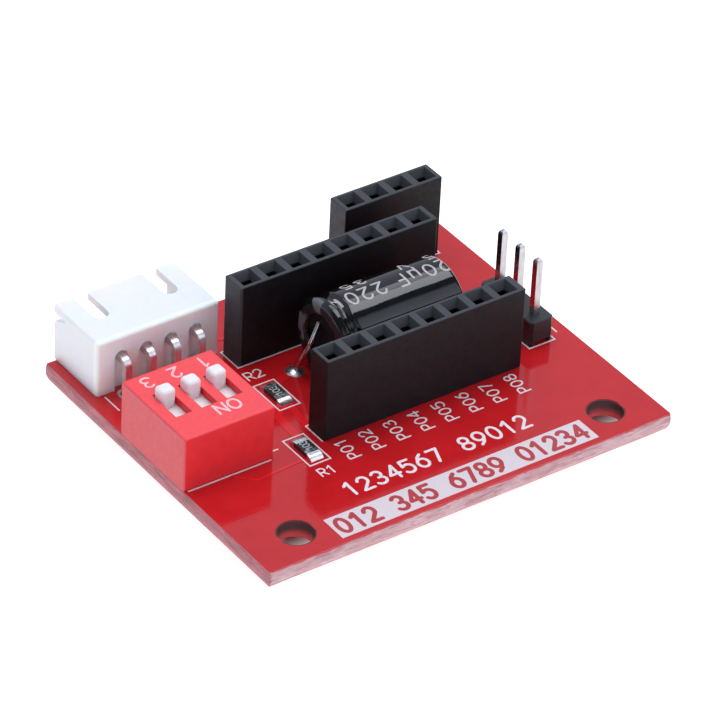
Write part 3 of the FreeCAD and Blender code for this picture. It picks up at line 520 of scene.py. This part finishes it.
class Relief:
    """Collects ribbons and plates that lie on a surface, and makes one mesh of them."""

    STAGGER, LEVELS = 0.0003, 9     # each stroke is this much higher than the last, in a cycle
    CLIMB = 0.00007                 # and climbs by this from one point to the next
    SHARPEST = 0.55                 # limits how far a mitre reaches
    CAP_STEPS = 6                   # straight pieces of a rounded end

    def __init__(self, surface, base=0.0, mirrored=False):
        self.surface = surface
        self.base = base
        self.mirrored = mirrored
        self.points, self.faces, self.count = [], [], 0

    def put(self, outline_points, faces, height):
        """A closed prism: the faces, a copy of them below, and a wall round every open edge.
        Its slight climb and stagger keep strokes that cross from sharing a level."""
        self.count += 1
        height += self.STAGGER * (self.count % self.LEVELS)
        start, size = len(self.points), len(outline_points)
        self.points += [self.surface(u, v, self.base + height + self.CLIMB * i) * MM
                        for i, (u, v) in enumerate(outline_points)]
        self.points += [self.surface(u, v, self.base) * MM for u, v in outline_points]
        edges = [edge for face in faces for edge in zip(face, face[1:] + face[:1])]
        made = [list(face) for face in faces]
        made += [[i + size for i in reversed(face)] for face in faces]
        made += [[b, a, a + size, b + size] for a, b in edges if (b, a) not in edges]
        for face in made:
            face = [i + start for i in face]
            self.faces.append(face[::-1] if self.mirrored else face)

    def ribbon(self, line, width, height, closed=False):
        """A stroke of constant width along a line of (u, v) points, with rounded ends."""
        points = [Vector(p) for p in line]
        half, count = width / 2, len(points)
        left, right = [], []
        for i, point in enumerate(points):
            before = points[i - 1] if closed or i else None
            after = points[(i + 1) % count] if closed or i < count - 1 else None
            ins = (point - before).normalized() if before is not None else None
            outs = (after - point).normalized() if after is not None else None
            direction = ((ins or outs) + (outs or ins)).normalized()
            normal = Vector((-direction.y, direction.x))
            step = ins or outs
            reach = half / max(self.SHARPEST, abs(normal.dot(Vector((-step.y, step.x)))))
            left.append(point + normal * reach)
            right.append(point - normal * reach)
        outline = [tuple(p) for pair in zip(left, right) for p in pair]
        faces = []
        for i in range(count if closed else count - 1):
            a, b = 2 * i, 2 * ((i + 1) % count)
            faces.append([a, a + 1, b + 1, b])
        if not closed:
            for end, near in ((0, 1), (count - 1, count - 2)):
                away = (points[end] - points[near]).normalized()
                first = atan2(away.y, away.x) - pi / 2
                cap = []
                for k in range(1, self.CAP_STEPS):
                    angle = first + pi * k / self.CAP_STEPS
                    cap.append(len(outline))
                    outline.append((points[end].x + half * cos(angle), points[end].y + half * sin(angle)))
                edge = [2 * end, 2 * end + 1] if end == 0 else [2 * end + 1, 2 * end]
                faces.append([edge[0]] + cap + [edge[1]])
        self.put(outline, faces, height)

    def plate(self, outline, height):
        """A flat plate with a convex outline, given counter-clockwise."""
        self.put(outline, [list(range(len(outline)))], height)

    def piece(self, name, material):
        """The collected strokes as one object that rides on the board."""
        mesh = bpy.data.meshes.new(name)
        mesh.from_pydata([tuple(p) for p in self.points], [], self.faces)
        mesh.validate()
        mesh.materials.append(material)
        made = add_object(name, mesh)
        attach(made, "module")


def arc(x, y, radius_x, radius_y, start, end, steps):
    """Points on an ellipse, angles in degrees."""
    angles = [radians(start + (end - start) * i / steps) for i in range(steps + 1)]
    return [(x + radius_x * cos(a), y + radius_y * sin(a)) for a in angles]


def circle(x, y, radius, steps):
    return arc(x, y, radius, radius, 0, 360, steps)[:-1]


def rectangle(low_x, low_y, high_x, high_y):
    return [(low_x, low_y), (high_x, low_y), (high_x, high_y), (low_x, high_y)]


# Strokes of plain figures and letters on a cell 4 wide and 6 high.
GLYPHS = {
    "0": [arc(2, 3, 1.95, 3, 90, 450, 24)],
    "1": [[(0.7, 4.7), (2.3, 6), (2.3, 0)]],
    "2": [arc(2, 4.2, 1.8, 1.8, 165, -35, 12) + [(0.1, 0), (3.9, 0)]],
    "3": [arc(1.9, 4.5, 1.7, 1.5, 150, -90, 12) + arc(1.9, 1.6, 2.0, 1.6, 90, -150, 12)[1:]],
    "4": [[(3, 0), (3, 6), (0.1, 1.8), (4, 1.8)]],
    "5": [[(3.7, 6), (0.6, 6), (0.3, 3.4)] + arc(1.9, 2.0, 2.0, 2.0, 125, -145, 14)],
    "6": [[(3.2, 6), (1.6, 4.9)] + arc(2, 2, 1.9, 2, 160, 180, 2) + arc(2, 2, 1.9, 2, 190, 520, 20)],
    "7": [[(0.1, 6), (3.9, 6), (1.5, 0)]],
    "8": [arc(2, 4.5, 1.6, 1.5, 90, 450, 18), arc(2, 1.55, 1.95, 1.55, 90, 450, 18)],
    "9": [[(0.8, 0), (2.4, 1.1)] + arc(2, 4, 1.9, 2, -20, 0, 2) + arc(2, 4, 1.9, 2, 10, 340, 20)],
    "P": [[(0.3, 0), (0.3, 6), (2.3, 6)] + arc(2.3, 4.35, 1.6, 1.65, 90, -90, 8)[1:] + [(0.3, 2.7)]],
    "R": [[(0.3, 0), (0.3, 6), (2.3, 6)] + arc(2.3, 4.35, 1.6, 1.65, 90, -90, 8)[1:] + [(0.3, 2.7)],
          [(2.1, 2.7), (4, 0)]],
    "N": [[(0.2, 0), (0.2, 6), (3.8, 0), (3.8, 6)]],
    "O": [arc(2, 3, 2.1, 3, 90, 450, 24)],
    "F": [[(0.4, 0), (0.4, 6), (3.8, 6)], [(0.4, 3.2), (3.2, 3.2)]],
    "V": [[(0, 6), (2, 0), (4, 6)]],
    "u": [[(0.4, -1.6), (0.4, 4.1)], [(0.4, 1.6)] + arc(2, 1.6, 1.6, 1.6, 180, 360, 10)[1:] + [(3.6, 4.1)],
          [(3.6, 1.6), (3.6, 0)]],
}
CLOSED = {"0", "8", "O"}
GLYPH_HEIGHT = 6
SHARP_TURN = 40                     # degrees


def spread(line, step):
    """The same line with no gap between its points longer than step."""
    made = [line[0]]
    for a, b in zip(line, line[1:]):
        parts = max(1, ceil(hypot(b[0] - a[0], b[1] - a[1]) / step))
        made += [(a[0] + (b[0] - a[0]) * i / parts, a[1] + (b[1] - a[1]) * i / parts)
                 for i in range(1, parts + 1)]
    return made


def split_at_corners(line):
    """The line cut wherever it turns sharply, so that every corner is rounded."""
    parts, current = [], [line[0]]
    for i in range(1, len(line)):
        current.append(line[i])
        if i < len(line) - 1:
            ins = Vector(line[i]) - Vector(line[i - 1])
            outs = Vector(line[i + 1]) - Vector(line[i])
            if ins.angle(outs) > radians(SHARP_TURN):
                parts.append(current)
                current = [line[i]]
    return parts + [current]


def text(relief, words, start, cap, pitch, stroke, height=INK, turn=0.0, wide=1.0, step=None):
    """Stroke figures from a start point, read in the direction of turn (degrees). With a step,
    no part of a stroke is longer than that, so that it can follow a curve."""
    along = Vector((cos(radians(turn)), sin(radians(turn))))
    up = Vector((-along.y, along.x))
    scale = cap / GLYPH_HEIGHT
    for i, letter in enumerate(words):
        if letter == " ":
            continue
        for line in GLYPHS[letter]:
            closed = letter in CLOSED
            flat = line[:-1] if closed else line
            for part in [flat] if closed else split_at_corners(flat):
                if step and not closed:
                    part = spread(part, step / scale)
                placed = []
                for u, v in part:
                    p = Vector(start) + along * (i * pitch + u * scale * wide) + up * (v * scale)
                    placed.append((p.x, p.y))
                relief.ribbon(placed, stroke, height, closed)


def lacquer_sheet(name, low_z, high_z, inset):
    """Lacquer on one face of the board, open at the mounting holes."""
    bare_rim = 0.13
    curve = bpy.data.curves.new(name, "CURVE")
    curve.dimensions, curve.fill_mode = "2D", "BOTH"
    curve.extrude = (high_z - low_z) / 2 * MM
    edge = rectangle(BOARD_LOW.x + inset, BOARD_LOW.y + inset, BOARD_HIGH.x - inset, BOARD_HIGH.y - inset)
    outlines = [edge] + [circle(x, y, MOUNT_RADIUS + bare_rim, 64) for x, y in MOUNT_HOLES]
    for points in outlines:
        spline = curve.splines.new("POLY")
        spline.points.add(len(points) - 1)
        for point, (x, y) in zip(spline.points, points):
            point.co = (x * MM, y * MM, 0, 1)
        spline.use_cyclic_u = True
    shape = add_object(name + "_outline", curve)
    shape.location.z = (low_z + high_z) / 2 * MM
    bpy.context.view_layer.update()
    mesh = bpy.data.meshes.new_from_object(shape)
    mesh.transform(shape.matrix_world)
    bpy.data.objects.remove(shape)
    bpy.data.curves.remove(curve)
    mesh.name = name
    mesh.materials.clear()
    mesh.materials.append(MASK_RED)
    sheet = add_object(name, mesh)
    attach(sheet, "module")


lacquer_sheet("lacquer_top", TOP, TOP + MASK, SCORE_TOP)
lacquer_sheet("lacquer_bottom", -MASK, 0, SCORE_BOTTOM)

# Copper tracks under the lacquer, seen as brighter raised lines.
tracks = Relief(flat_on(TOP), MASK)
CHIP_REACH = 1.55                   # from a chip's middle to the middle of its end pads
for line, width in (
    ([(CHIP_2_X + 0.1, CHIP_2_Y - CHIP_REACH), (CHIP_2_X + 0.1, 0.2), (CHIP_2_X - 0.3, -2.3),
      (FRONT_LOW.x + 0.9, -3.4)], 0.65),
    ([(CHIP_2_X - 0.4, CHIP_2_Y - CHIP_REACH), (CHIP_1_X + 0.6, 0.4),
      (CHIP_1_X + 0.4, CHIP_1_Y + CHIP_REACH)], 0.85),
    ([(CHIP_2_X, CHIP_2_Y + CHIP_REACH), (CHIP_2_X + 1.1, CHIP_2_Y + CHIP_REACH), LEAD_PADS[0]], 0.85),
    ([(CHIP_1_X, CHIP_1_Y - CHIP_REACH), (CHIP_1_X - 1.4, -6.0), (DIP_HIGH.x - 2.9, -6.3),
      (DIP_HIGH.x - 4.3, -4.9), (DIP_HIGH.x - 4.3, DIP_YS[0])], 0.26),
    ([LEAD_PADS[1], (-1.2, 0.4), (0.5, -0.6), (9.0, -0.6), (SIGNAL_X, SIGNAL_YS[0])], 1.1),
    ([(CONTROL_XS[0], CONTROL_Y), (CONTROL_XS[0], 12.4), (6.4, 11.6), (-4.0, 11.6), (-6.2, 12.2)], 0.35),
    ([(CONTROL_XS[1], CONTROL_Y), (CONTROL_XS[1], 12.0), (7.3, 11.0), (2.0, 11.0)], 0.35),
):
    tracks.ribbon(line, width, COPPER)
tracks.piece("copper_tracks_top", TRACK_RED)

# Tin rims round the plated holes.
ROW_PADS = ([(x, y) for x in DRIVER_XS for y in (FRONT_Y, REAR_Y)]
            + [(x, CONTROL_Y) for x in CONTROL_XS] + [(SIGNAL_X, y) for y in SIGNAL_YS]
            + [(x, MOTOR_LEG_Y) for x in MOTOR_XS] + [(x, y) for x in DIP_XS for y in DIP_YS])
RIM_STEPS = 32
for name, surface, mirrored, pads, radius, width in (
    ("pad_rims_top", flat_on(TOP), False, ROW_PADS, 0.68, 0.26),
    ("pad_rims_bottom", flat_on(0, -1), True, ROW_PADS + list(LEAD_PADS), 0.92, 0.2),
):
    rims = Relief(surface, MASK, mirrored)
    for x, y in pads:
        rims.ribbon(circle(x, y, radius, RIM_STEPS), width, COPPER, True)
    rims.piece(name, CHIP_TIN)

# Tracks on the underside. Each group is nested, so that no two of its tracks meet. Its lanes are
# written as the first lane's place and the step to the next.
MOTOR_LANES, SWITCH_LANES, SUPPLY_LANES = (12.8, -0.7), (-6.2, -0.75), (1.8, -0.6)
SIDE_LANES, REAR_LANES, FRONT_LANES = (13.95, 0.6), (10.6, 0.6), (-5.2, -0.6)
NARROW, MOTOR_WIDTH, SUPPLY_WIDTH, LEAD_WIDTH = 0.35, 0.42, 0.45, 1.3
MOTOR_BEND, SWITCH_BEND, SIDE_BEND = 0.8, 0.8, 0.6
SUPPLY_X = -9.7


def lane_at(lanes, i):
    first, step = lanes
    return first + step * i


under = Relief(flat_on(0, -1), MASK, True)
for i, x in enumerate(MOTOR_XS):
    row, lane = DRIVER_XS[5 - i], lane_at(MOTOR_LANES, i)
    under.ribbon([(x, MOTOR_LEG_Y), (x, lane - MOTOR_BEND), (x + MOTOR_BEND, lane),
                  (row - MOTOR_BEND, lane), (row, lane - MOTOR_BEND), (row, REAR_Y)],
                 MOTOR_WIDTH, COPPER)
for i, x in enumerate(DIP_XS):
    row, lane = DRIVER_XS[1 + i], lane_at(SWITCH_LANES, i)
    under.ribbon([(x, DIP_YS[0]), (x, lane + SWITCH_BEND), (x + SWITCH_BEND, lane),
                  (row - SWITCH_BEND, lane), (row, lane + SWITCH_BEND), (row, FRONT_Y)], NARROW, COPPER)
    lane = lane_at(SUPPLY_LANES, i)
    under.ribbon([(x, DIP_YS[1]), (x, lane + SIDE_BEND), (x + SIDE_BEND, lane), (SUPPLY_X, lane)],
                 NARROW, COPPER)
under.ribbon([(SUPPLY_X, SUPPLY_LANES[0]), (SUPPLY_X, 0.6), (-4.2, 0.6), LEAD_PADS[1]],
             SUPPLY_WIDTH, COPPER)
for i, x in enumerate(CONTROL_XS):
    row, side_lane = DRIVER_XS[7 - i], lane_at(SIDE_LANES, i)
    rear_lane, front_lane = lane_at(REAR_LANES, i), lane_at(FRONT_LANES, i)
    bend = max(-SIDE_BEND, min(SIDE_BEND, 0.4 * (side_lane - x)))
    under.ribbon([(x, CONTROL_Y), (x, rear_lane + abs(bend)), (x + bend, rear_lane),
                  (side_lane - bend, rear_lane), (side_lane, rear_lane - abs(bend)),
                  (side_lane, front_lane + SIDE_BEND), (side_lane - SIDE_BEND, front_lane),
                  (row + SIDE_BEND, front_lane), (row, front_lane + SIDE_BEND), (row, FRONT_Y)],
                 NARROW, COPPER)
under.ribbon([(SIGNAL_X, SIGNAL_YS[2]), (side_lane, SIGNAL_YS[2])], NARROW, COPPER)
under.ribbon([LEAD_PADS[0], (DRIVER_XS[1], 6.0), (DRIVER_XS[1], REAR_Y)], LEAD_WIDTH, COPPER)
under.piece("copper_tracks_bottom", TRACK_RED)

# White legend: outlines of the parts.
legend = Relief(flat_on(TOP), MASK)


def outline(low_x, low_y, high_x, high_y):
    """A printed rectangle."""
    legend.ribbon(rectangle(low_x, low_y, high_x, high_y), OUTLINE_STROKE, COPPER + INK, True)


def print_line(start, end):
    """A printed straight line."""
    legend.ribbon([start, end], OUTLINE_STROKE, COPPER + INK)


HOUSING_MARGIN, FRONT_MARGIN = 0.12, 0.14   # from a housing to its printed outline
CHIP_SIDE, CHIP_FRONT, CHIP_REAR = 1.05, 2.08, 1.98     # from a chip's middle
for x, y in ((CHIP_1_X, CHIP_1_Y), (CHIP_2_X, CHIP_2_Y)):
    outline(x - CHIP_SIDE, y - CHIP_FRONT, x + CHIP_SIDE, y + CHIP_REAR)
for low, high in ((REAR_LOW, REAR_HIGH), (CONTROL_LOW, CONTROL_HIGH), (SIGNAL_LOW, SIGNAL_HIGH)):
    outline(low.x - HOUSING_MARGIN, low.y - HOUSING_MARGIN,
            high.x + HOUSING_MARGIN, high.y + HOUSING_MARGIN)
front_corner = (FRONT_LOW.x - FRONT_MARGIN, FRONT_HIGH.y + FRONT_MARGIN)
print_line((FRONT_LOW.x - FRONT_MARGIN, FRONT_LOW.y + 0.1), front_corner)
print_line(front_corner, (FRONT_HIGH.x + FRONT_MARGIN, FRONT_HIGH.y + FRONT_MARGIN))
for y in (DIP_LOW.y - 0.18, DIP_HIGH.y + 0.2):
    print_line((DIP_LOW.x + 0.35, y), (DIP_HIGH.x - 0.4, y))
for x in (MOTOR_LOW.x + 0.6, MOTOR_HIGH.x - 0.6):
    print_line((x, 8.0), (x, 10.2))
legend.piece("legend_outlines", LEGEND)

# White legend: figures. Their sizes are the height of a capital and the step between figures.
SMALL, LARGE, BOLD = (1.05, 0.9), (1.7, 1.46), (1.85, 1.435)
figures = Relief(flat_on(TOP), MASK)
text(figures, "R1", (CHIP_1_X - 0.95, -8.75), 1.0, 0.86, LEGEND_STROKE)
text(figures, "R2", (CHIP_2_X - 0.85, 5.75), 1.1, 0.95, LEGEND_STROKE)
text(figures, "1", (DIP_HIGH.x + 0.95, -4.0), 1.0, 0.9, LEGEND_STROKE, turn=90)
for i, x in enumerate(DRIVER_XS):
    text(figures, f"P0{i + 1}", (x + 0.35, FRONT_LOW.y - 3.25), 1.1, 1.0, LEGEND_STROKE, turn=90)
for i, y in enumerate(SIGNAL_YS):
    text(figures, str(i + 1), (SIGNAL_HIGH.x + 0.55, y - 0.55), *SMALL, LEGEND_STROKE)
for i, x in enumerate(CONTROL_XS):
    text(figures, str(i + 1), (x - 0.35, CONTROL_LOW.y - 1.6), *SMALL, LEGEND_STROKE)
for i, x in enumerate(MOTOR_XS):
    text(figures, str(MOTOR_WAYS - i), (x - 0.35, MOTOR_LEG_Y - 2.3), *SMALL, LEGEND_STROKE)
text(figures, "1234567", (-9.2, -12.2), *LARGE, 0.27, wide=0.9)
text(figures, "89012", (2.7, -12.2), *LARGE, 0.27, wide=0.9)
figures.piece("legend_figures", LEGEND)

# White label strip with bold red figures.
strip = Relief(flat_on(TOP), MASK)
LABEL_LOW, LABEL_HIGH = (-13.05, -16.55), (13.4, -13.7)
strip.plate(rectangle(*LABEL_LOW, *LABEL_HIGH), INK)
strip.piece("label_strip", LABEL)
bold = Relief(flat_on(TOP), MASK + INK)
text(bold, "012 345 6789 01234", (-12.55, -16.05), *BOLD, 0.4, 0.004, wide=0.82)
bold.piece("label_figures", LABEL_RED)

# Figures on the DIP switch, upright when seen from the connector's side.
cover = Relief(flat_on(DIP_HIGH.z))
for i, x in enumerate(DIP_XS):
    text(cover, str(i + 1), (x + 0.75 - 0.25 * i, 4.7), 1.35, 1.0, 0.2, turn=180)
text(cover, "ON", (DIP_X + 2.3, DIP_LOW.y + 2.8), 1.3, 1.3, 0.22, turn=180, wide=1.15)
cover.piece("switch_figures", SWITCH_INK)

# Chip markings.
chips = Relief(flat_on(CHIPS[1][1].z))
for x, y in ((CHIP_1_X, CHIP_1_Y), (CHIP_2_X, CHIP_2_Y)):
    text(chips, "103", (x + 0.3, y - 0.62), 0.62, 0.46, 0.085, 0.006, turn=90)
chips.piece("chip_figures", CHIP_INK)

# The shrink sleeve, drawn tight over the can. It bridges the crimp groove with uneven folds, and
# its ends curl over the can in small puckers.
SLEEVE_RADIUS = (SLEEVE_HIGH.z - SLEEVE_LOW.z) / 2
FILM_THICKNESS = 0.05
CAN_END_X = SLEEVE_LOW.x + 0.1      # crimped end of the can
GROOVE_X, GROOVE_HALF, GROOVE_DEPTH = CAN_END_X + 1.2, 0.6, 0.55
LIP_BEND, END_BEND = 0.65, 0.45     # radii of the curls
FOLD_REACH = 4.2                    # how far the small folds run from the lip
OPENING = 2.72                      # radius left open at both ends


def curl(depth, bend):
    """How far a curl of that bend has turned inwards at a depth past its start."""
    reach = min(1.0, max(0.0, depth) / bend)
    return bend * (1 - (1 - reach * reach) ** 0.5)


def sleeve_radius(x, angle):
    """Outer radius of the sleeve along the capacitor, angle from the top towards the rear."""
    bridged = 0.05 + 0.05 * sin(3 * angle + 0.6) + 0.07 * sin(7 * angle + 2.0) + 0.04 * sin(12 * angle)
    shift = 0.10 * sin(2 * angle + 0.5) + 0.05 * sin(5 * angle + 1.0)
    half = GROOVE_HALF + 0.16 + 0.10 * sin(4 * angle + 0.3)
    off = abs(x - GROOVE_X - shift) / half
    can_off = abs(x - GROOVE_X) / GROOVE_HALF
    radius = SLEEVE_RADIUS
    if off < 1:
        film = SLEEVE_RADIUS - (GROOVE_DEPTH - max(0.0, bridged)) * (0.5 + 0.5 * cos(pi * off)) ** 0.8
        can = SLEEVE_RADIUS - (GROOVE_DEPTH * (1 - can_off * can_off) if can_off < 1 else 0)
        radius = min(SLEEVE_RADIUS, max(film, can - 0.02))
    slack = max(0.0, 1 - max(0.0, x - SLEEVE_LOW.x) / FOLD_REACH)
    folds = 0.11 * max(0.0, sin(6 * angle + 1.9 * x)) + 0.05 * max(0.0, sin(13 * angle - 3.3 * x))
    radius = min(SLEEVE_RADIUS, radius + slack * folds)
    radius -= curl(SLEEVE_LOW.x + LIP_BEND - x, LIP_BEND)
    return radius - curl(x - SLEEVE_HIGH.x + END_BEND, END_BEND)


def shrink_sleeve():
    """A closed film: outer skin from one curled end to the other, and its inside."""
    turns, lip_rings, body_rings, end_rings = 180, 10, 110, 8
    inner_steps = [0.0, 0.25, 0.5, 0.75, 0.92]
    xs = [SLEEVE_LOW.x + LIP_BEND * (1 - cos(pi / 2 * i / lip_rings)) for i in range(1, lip_rings + 1)]
    straight = SLEEVE_HIGH.x - END_BEND - xs[-1]
    xs += [xs[-1] + straight * i / body_rings for i in range(1, body_rings + 1)]
    xs += [SLEEVE_HIGH.x - END_BEND * (1 - sin(pi / 2 * i / end_rings)) for i in range(1, end_rings)]

    def skin(angle, inset):
        """(x, radius) pairs from the lip to the far end at one angle, moved into the film."""
        pucker = 0.10 * sin(4 * angle + 0.8) + 0.06 * sin(9 * angle) + 0.03 * sin(17 * angle)
        opening = OPENING + pucker
        lip_edge, end_edge = SLEEVE_RADIUS - LIP_BEND, SLEEVE_RADIUS - END_BEND
        lip_x, end_x = SLEEVE_LOW.x + inset, SLEEVE_HIGH.x - inset
        made = [(lip_x, opening + (lip_edge - opening) * k) for k in inner_steps]
        made += [(min(max(x, lip_x), end_x), sleeve_radius(x, angle) - inset) for x in xs]
        made += [(end_x, opening + (end_edge - opening) * k) for k in reversed(inner_steps)]
        return made

    points, faces = [], []
    for turn in range(turns):
        angle = 2 * pi * turn / turns
        for x, radius in skin(angle, 0.0) + skin(angle, FILM_THICKNESS)[::-1]:
            points.append((x * MM, (SLEEVE_Y + radius * sin(angle)) * MM,
                           (SLEEVE_Z + radius * cos(angle)) * MM))
    count = len(points) // turns
    for turn in range(turns):
        here, after = turn * count, (turn + 1) % turns * count
        for i in range(count):
            k = (i + 1) % count
            faces.append((here + i, after + i, after + k, here + k))
    mesh = bpy.data.meshes.new("shrink_sleeve")
    mesh.from_pydata(points, [], faces)
    mesh.validate()
    mesh.polygons.foreach_set("use_smooth", [True] * len(mesh.polygons))
    mesh.materials.append(FILM)
    sleeve = add_object("shrink_sleeve", mesh)
    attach(sleeve, "module")
    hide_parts("capacitor_sleeve")


shrink_sleeve()


# Print that wraps round the capacitor's sleeve.
def round_sleeve(u, v, h):
    """(u, v, height) to the sleeve: u along its axis, v round it from the top towards the rear."""
    angle = v / SLEEVE_RADIUS
    radius = sleeve_radius(u, angle) + h
    return Vector((u, SLEEVE_Y + radius * sin(angle), SLEEVE_Z + radius * cos(angle)))


rating = Relief(round_sleeve)
for start, words in ((10.15, "20uF"), (3.5, "220u")):
    for i, letter in enumerate(words):
        text(rating, letter, (start + 0.25 - 1.46 * i, 0.3), 1.45, 1.0, 0.2, turn=180, wide=0.95, step=0.07)
for start, words in ((10.2, "5 V"), (2.95, "35")):
    text(rating, words, (start, 2.15), 1.2, 1.45, 0.2, turn=180, wide=1.0, step=0.07)
rating.piece("sleeve_figures", SLEEVE_INK)


# ------------------------------------------------------------------ floor, light and camera
# Lengths from here on are in metres.
def smooth_step(tree, value, start, end, low, high):
    """Goes smoothly from low to high while the value goes from start to end."""
    made = tree.nodes.new("ShaderNodeMapRange")
    made.interpolation_type = "SMOOTHSTEP"
    for socket, number in zip(("From Min", "From Max", "To Min", "To Max"), (start, end, low, high)):
        made.inputs[socket].default_value = number
    tree.links.new(value, made.inputs["Value"])
    return made.outputs["Result"]


def pale_floor():
    """A plain floor just under the lowest tail. It glows beside the board, so that it stays white
    in its shade. The glow reaches under the two edges that face the camera, and stops at a gap
    before the other two. These fades are in millimetres."""
    half_size, clearance, strength = 3.0, 0.00002, 0.9
    level = cad_low.z - clearance
    mesh = bpy.data.meshes.new("floor")
    mesh.from_pydata([(x * half_size, y * half_size, level)
                      for x, y in ((-1, -1), (1, -1), (1, 1), (-1, 1))], [], [[0, 1, 2, 3]])
    paint = Paint("floor_white", (0.42, 0.42, 0.42), 0.9)
    paint.color(paint.ramp(paint.noise(0.02, 2), ((0.3, (0.41, 0.41, 0.41)), (0.7, (0.43, 0.43, 0.43)))))
    across, along, _ = paint.axes()
    reach_full, reach_none, right_gap, rear_gap, overlap = 2, 6.5, 2.5, 3.5, 1
    glow = smooth_step(paint.tree, across, BOARD_LOW.x + reach_full, BOARD_LOW.x + reach_none, 1, 0)
    for place, full, none in (
        (along, BOARD_LOW.y + reach_full, BOARD_LOW.y + reach_none),
        (across, BOARD_HIGH.x + right_gap, BOARD_HIGH.x - overlap),
        (along, BOARD_HIGH.y + rear_gap, BOARD_HIGH.y - overlap),
    ):
        glow = paint.either(glow, smooth_step(paint.tree, place, full, none, 1, 0))
    paint.set("Emission Color", (1, 1, 1, 1))
    paint.link(paint.math("MULTIPLY", glow, strength), paint.shader.inputs["Emission Strength"])
    mesh.materials.append(paint.material)
    add_object("floor", mesh)


def softbox(name, low_x, low_y, high_x, high_y, radiance):
    """A level rectangular light over the module, from its corners, of even brightness."""
    width, depth, level = high_x - low_x, high_y - low_y, 0.6
    data = bpy.data.lights.new(name, "AREA")
    data.shape, data.size, data.size_y = "RECTANGLE", width, depth
    data.energy, data.color = radiance * pi * width * depth, (0.98, 1.02, 1.09)
    add_object(name, data).location = ((low_x + high_x) / 2, (low_y + high_y) / 2, level)


def studio_walls():
    """Cool pale walls before and behind the module, and a bright panel on its right. Each is
    limited by the direction's X, Y or Z."""
    world = bpy.data.worlds.new("studio")
    bpy.context.scene.world = world
    world.use_nodes = True
    tree = world.node_tree
    background = tree.nodes["Background"]
    background.inputs["Color"].default_value = (0.93, 1.0, 1.16, 1)
    direction = tree.nodes.new("ShaderNodeTexCoord")
    parts = tree.nodes.new("ShaderNodeSeparateXYZ")
    tree.links.new(direction.outputs["Generated"], parts.inputs["Vector"])

    def step(axis, start, end, low, high):
        return smooth_step(tree, parts.outputs[axis], start, end, low, high)

    def joined(operation, a, b):
        made = tree.nodes.new("ShaderNodeMath")
        made.operation = operation
        tree.links.new(a, made.inputs[0])
        tree.links.new(b, made.inputs[1])
        return made.outputs["Value"]

    rear_wall = step("Y", 0.22, 0.5, 0.14, 0.66)
    front_wall = joined("MULTIPLY", step("Y", -0.5, -0.2, 1.0, 0.0), step("Z", 0.35, 0.85, 0.9, 0.0))
    side_panel = joined("MULTIPLY", step("X", 0.22, 0.36, 0.0, 1.0), step("Y", -0.36, -0.26, 1.0, 0.0))
    for limit in (step("Z", 0.35, 0.5, 0.0, 1.0), step("Z", 0.77, 0.84, 0.9, 0.0)):
        side_panel = joined("MULTIPLY", side_panel, limit)
    walls = joined("ADD", rear_wall, front_wall)
    tree.links.new(joined("ADD", walls, side_panel), background.inputs["Strength"])


def aim_camera():
    """A long lens above the front left corner, turned by its azimuth, downward tilt and roll."""
    data = bpy.data.cameras.new("camera")
    data.lens, data.sensor_width = 241.71, 36.0
    data.clip_start, data.clip_end = 0.01, 20.0
    place = Vector((-0.199911, -0.268638, 0.244809))
    azimuth, down, roll = radians(53.332), radians(35.654), radians(2.886)
    forward = Vector((cos(azimuth) * cos(down), sin(azimuth) * cos(down), -sin(down)))
    level_right = Vector((sin(azimuth), -cos(azimuth), 0))
    level_up = level_right.cross(forward)
    right = level_right * cos(roll) + level_up * sin(roll)
    up = level_up * cos(roll) - level_right * sin(roll)
    camera = add_object("camera", data)
    camera.matrix_world = Matrix.Translation(place) @ Matrix((
        (right.x, up.x, -forward.x, 0), (right.y, up.y, -forward.y, 0),
        (right.z, up.z, -forward.z, 0), (0, 0, 0, 1)))
    bpy.context.scene.camera = camera
    bpy.context.scene.view_settings.view_transform = "Standard"


pale_floor()
# A long softbox overhead and one behind it on the left.
softbox("softbox_overhead", -0.2, -0.05, 0.5, 0.2, 4.6)
softbox("softbox_rear", -0.14, 0.21, 0.46, 0.40, 2.7)
studio_walls()
aim_camera()
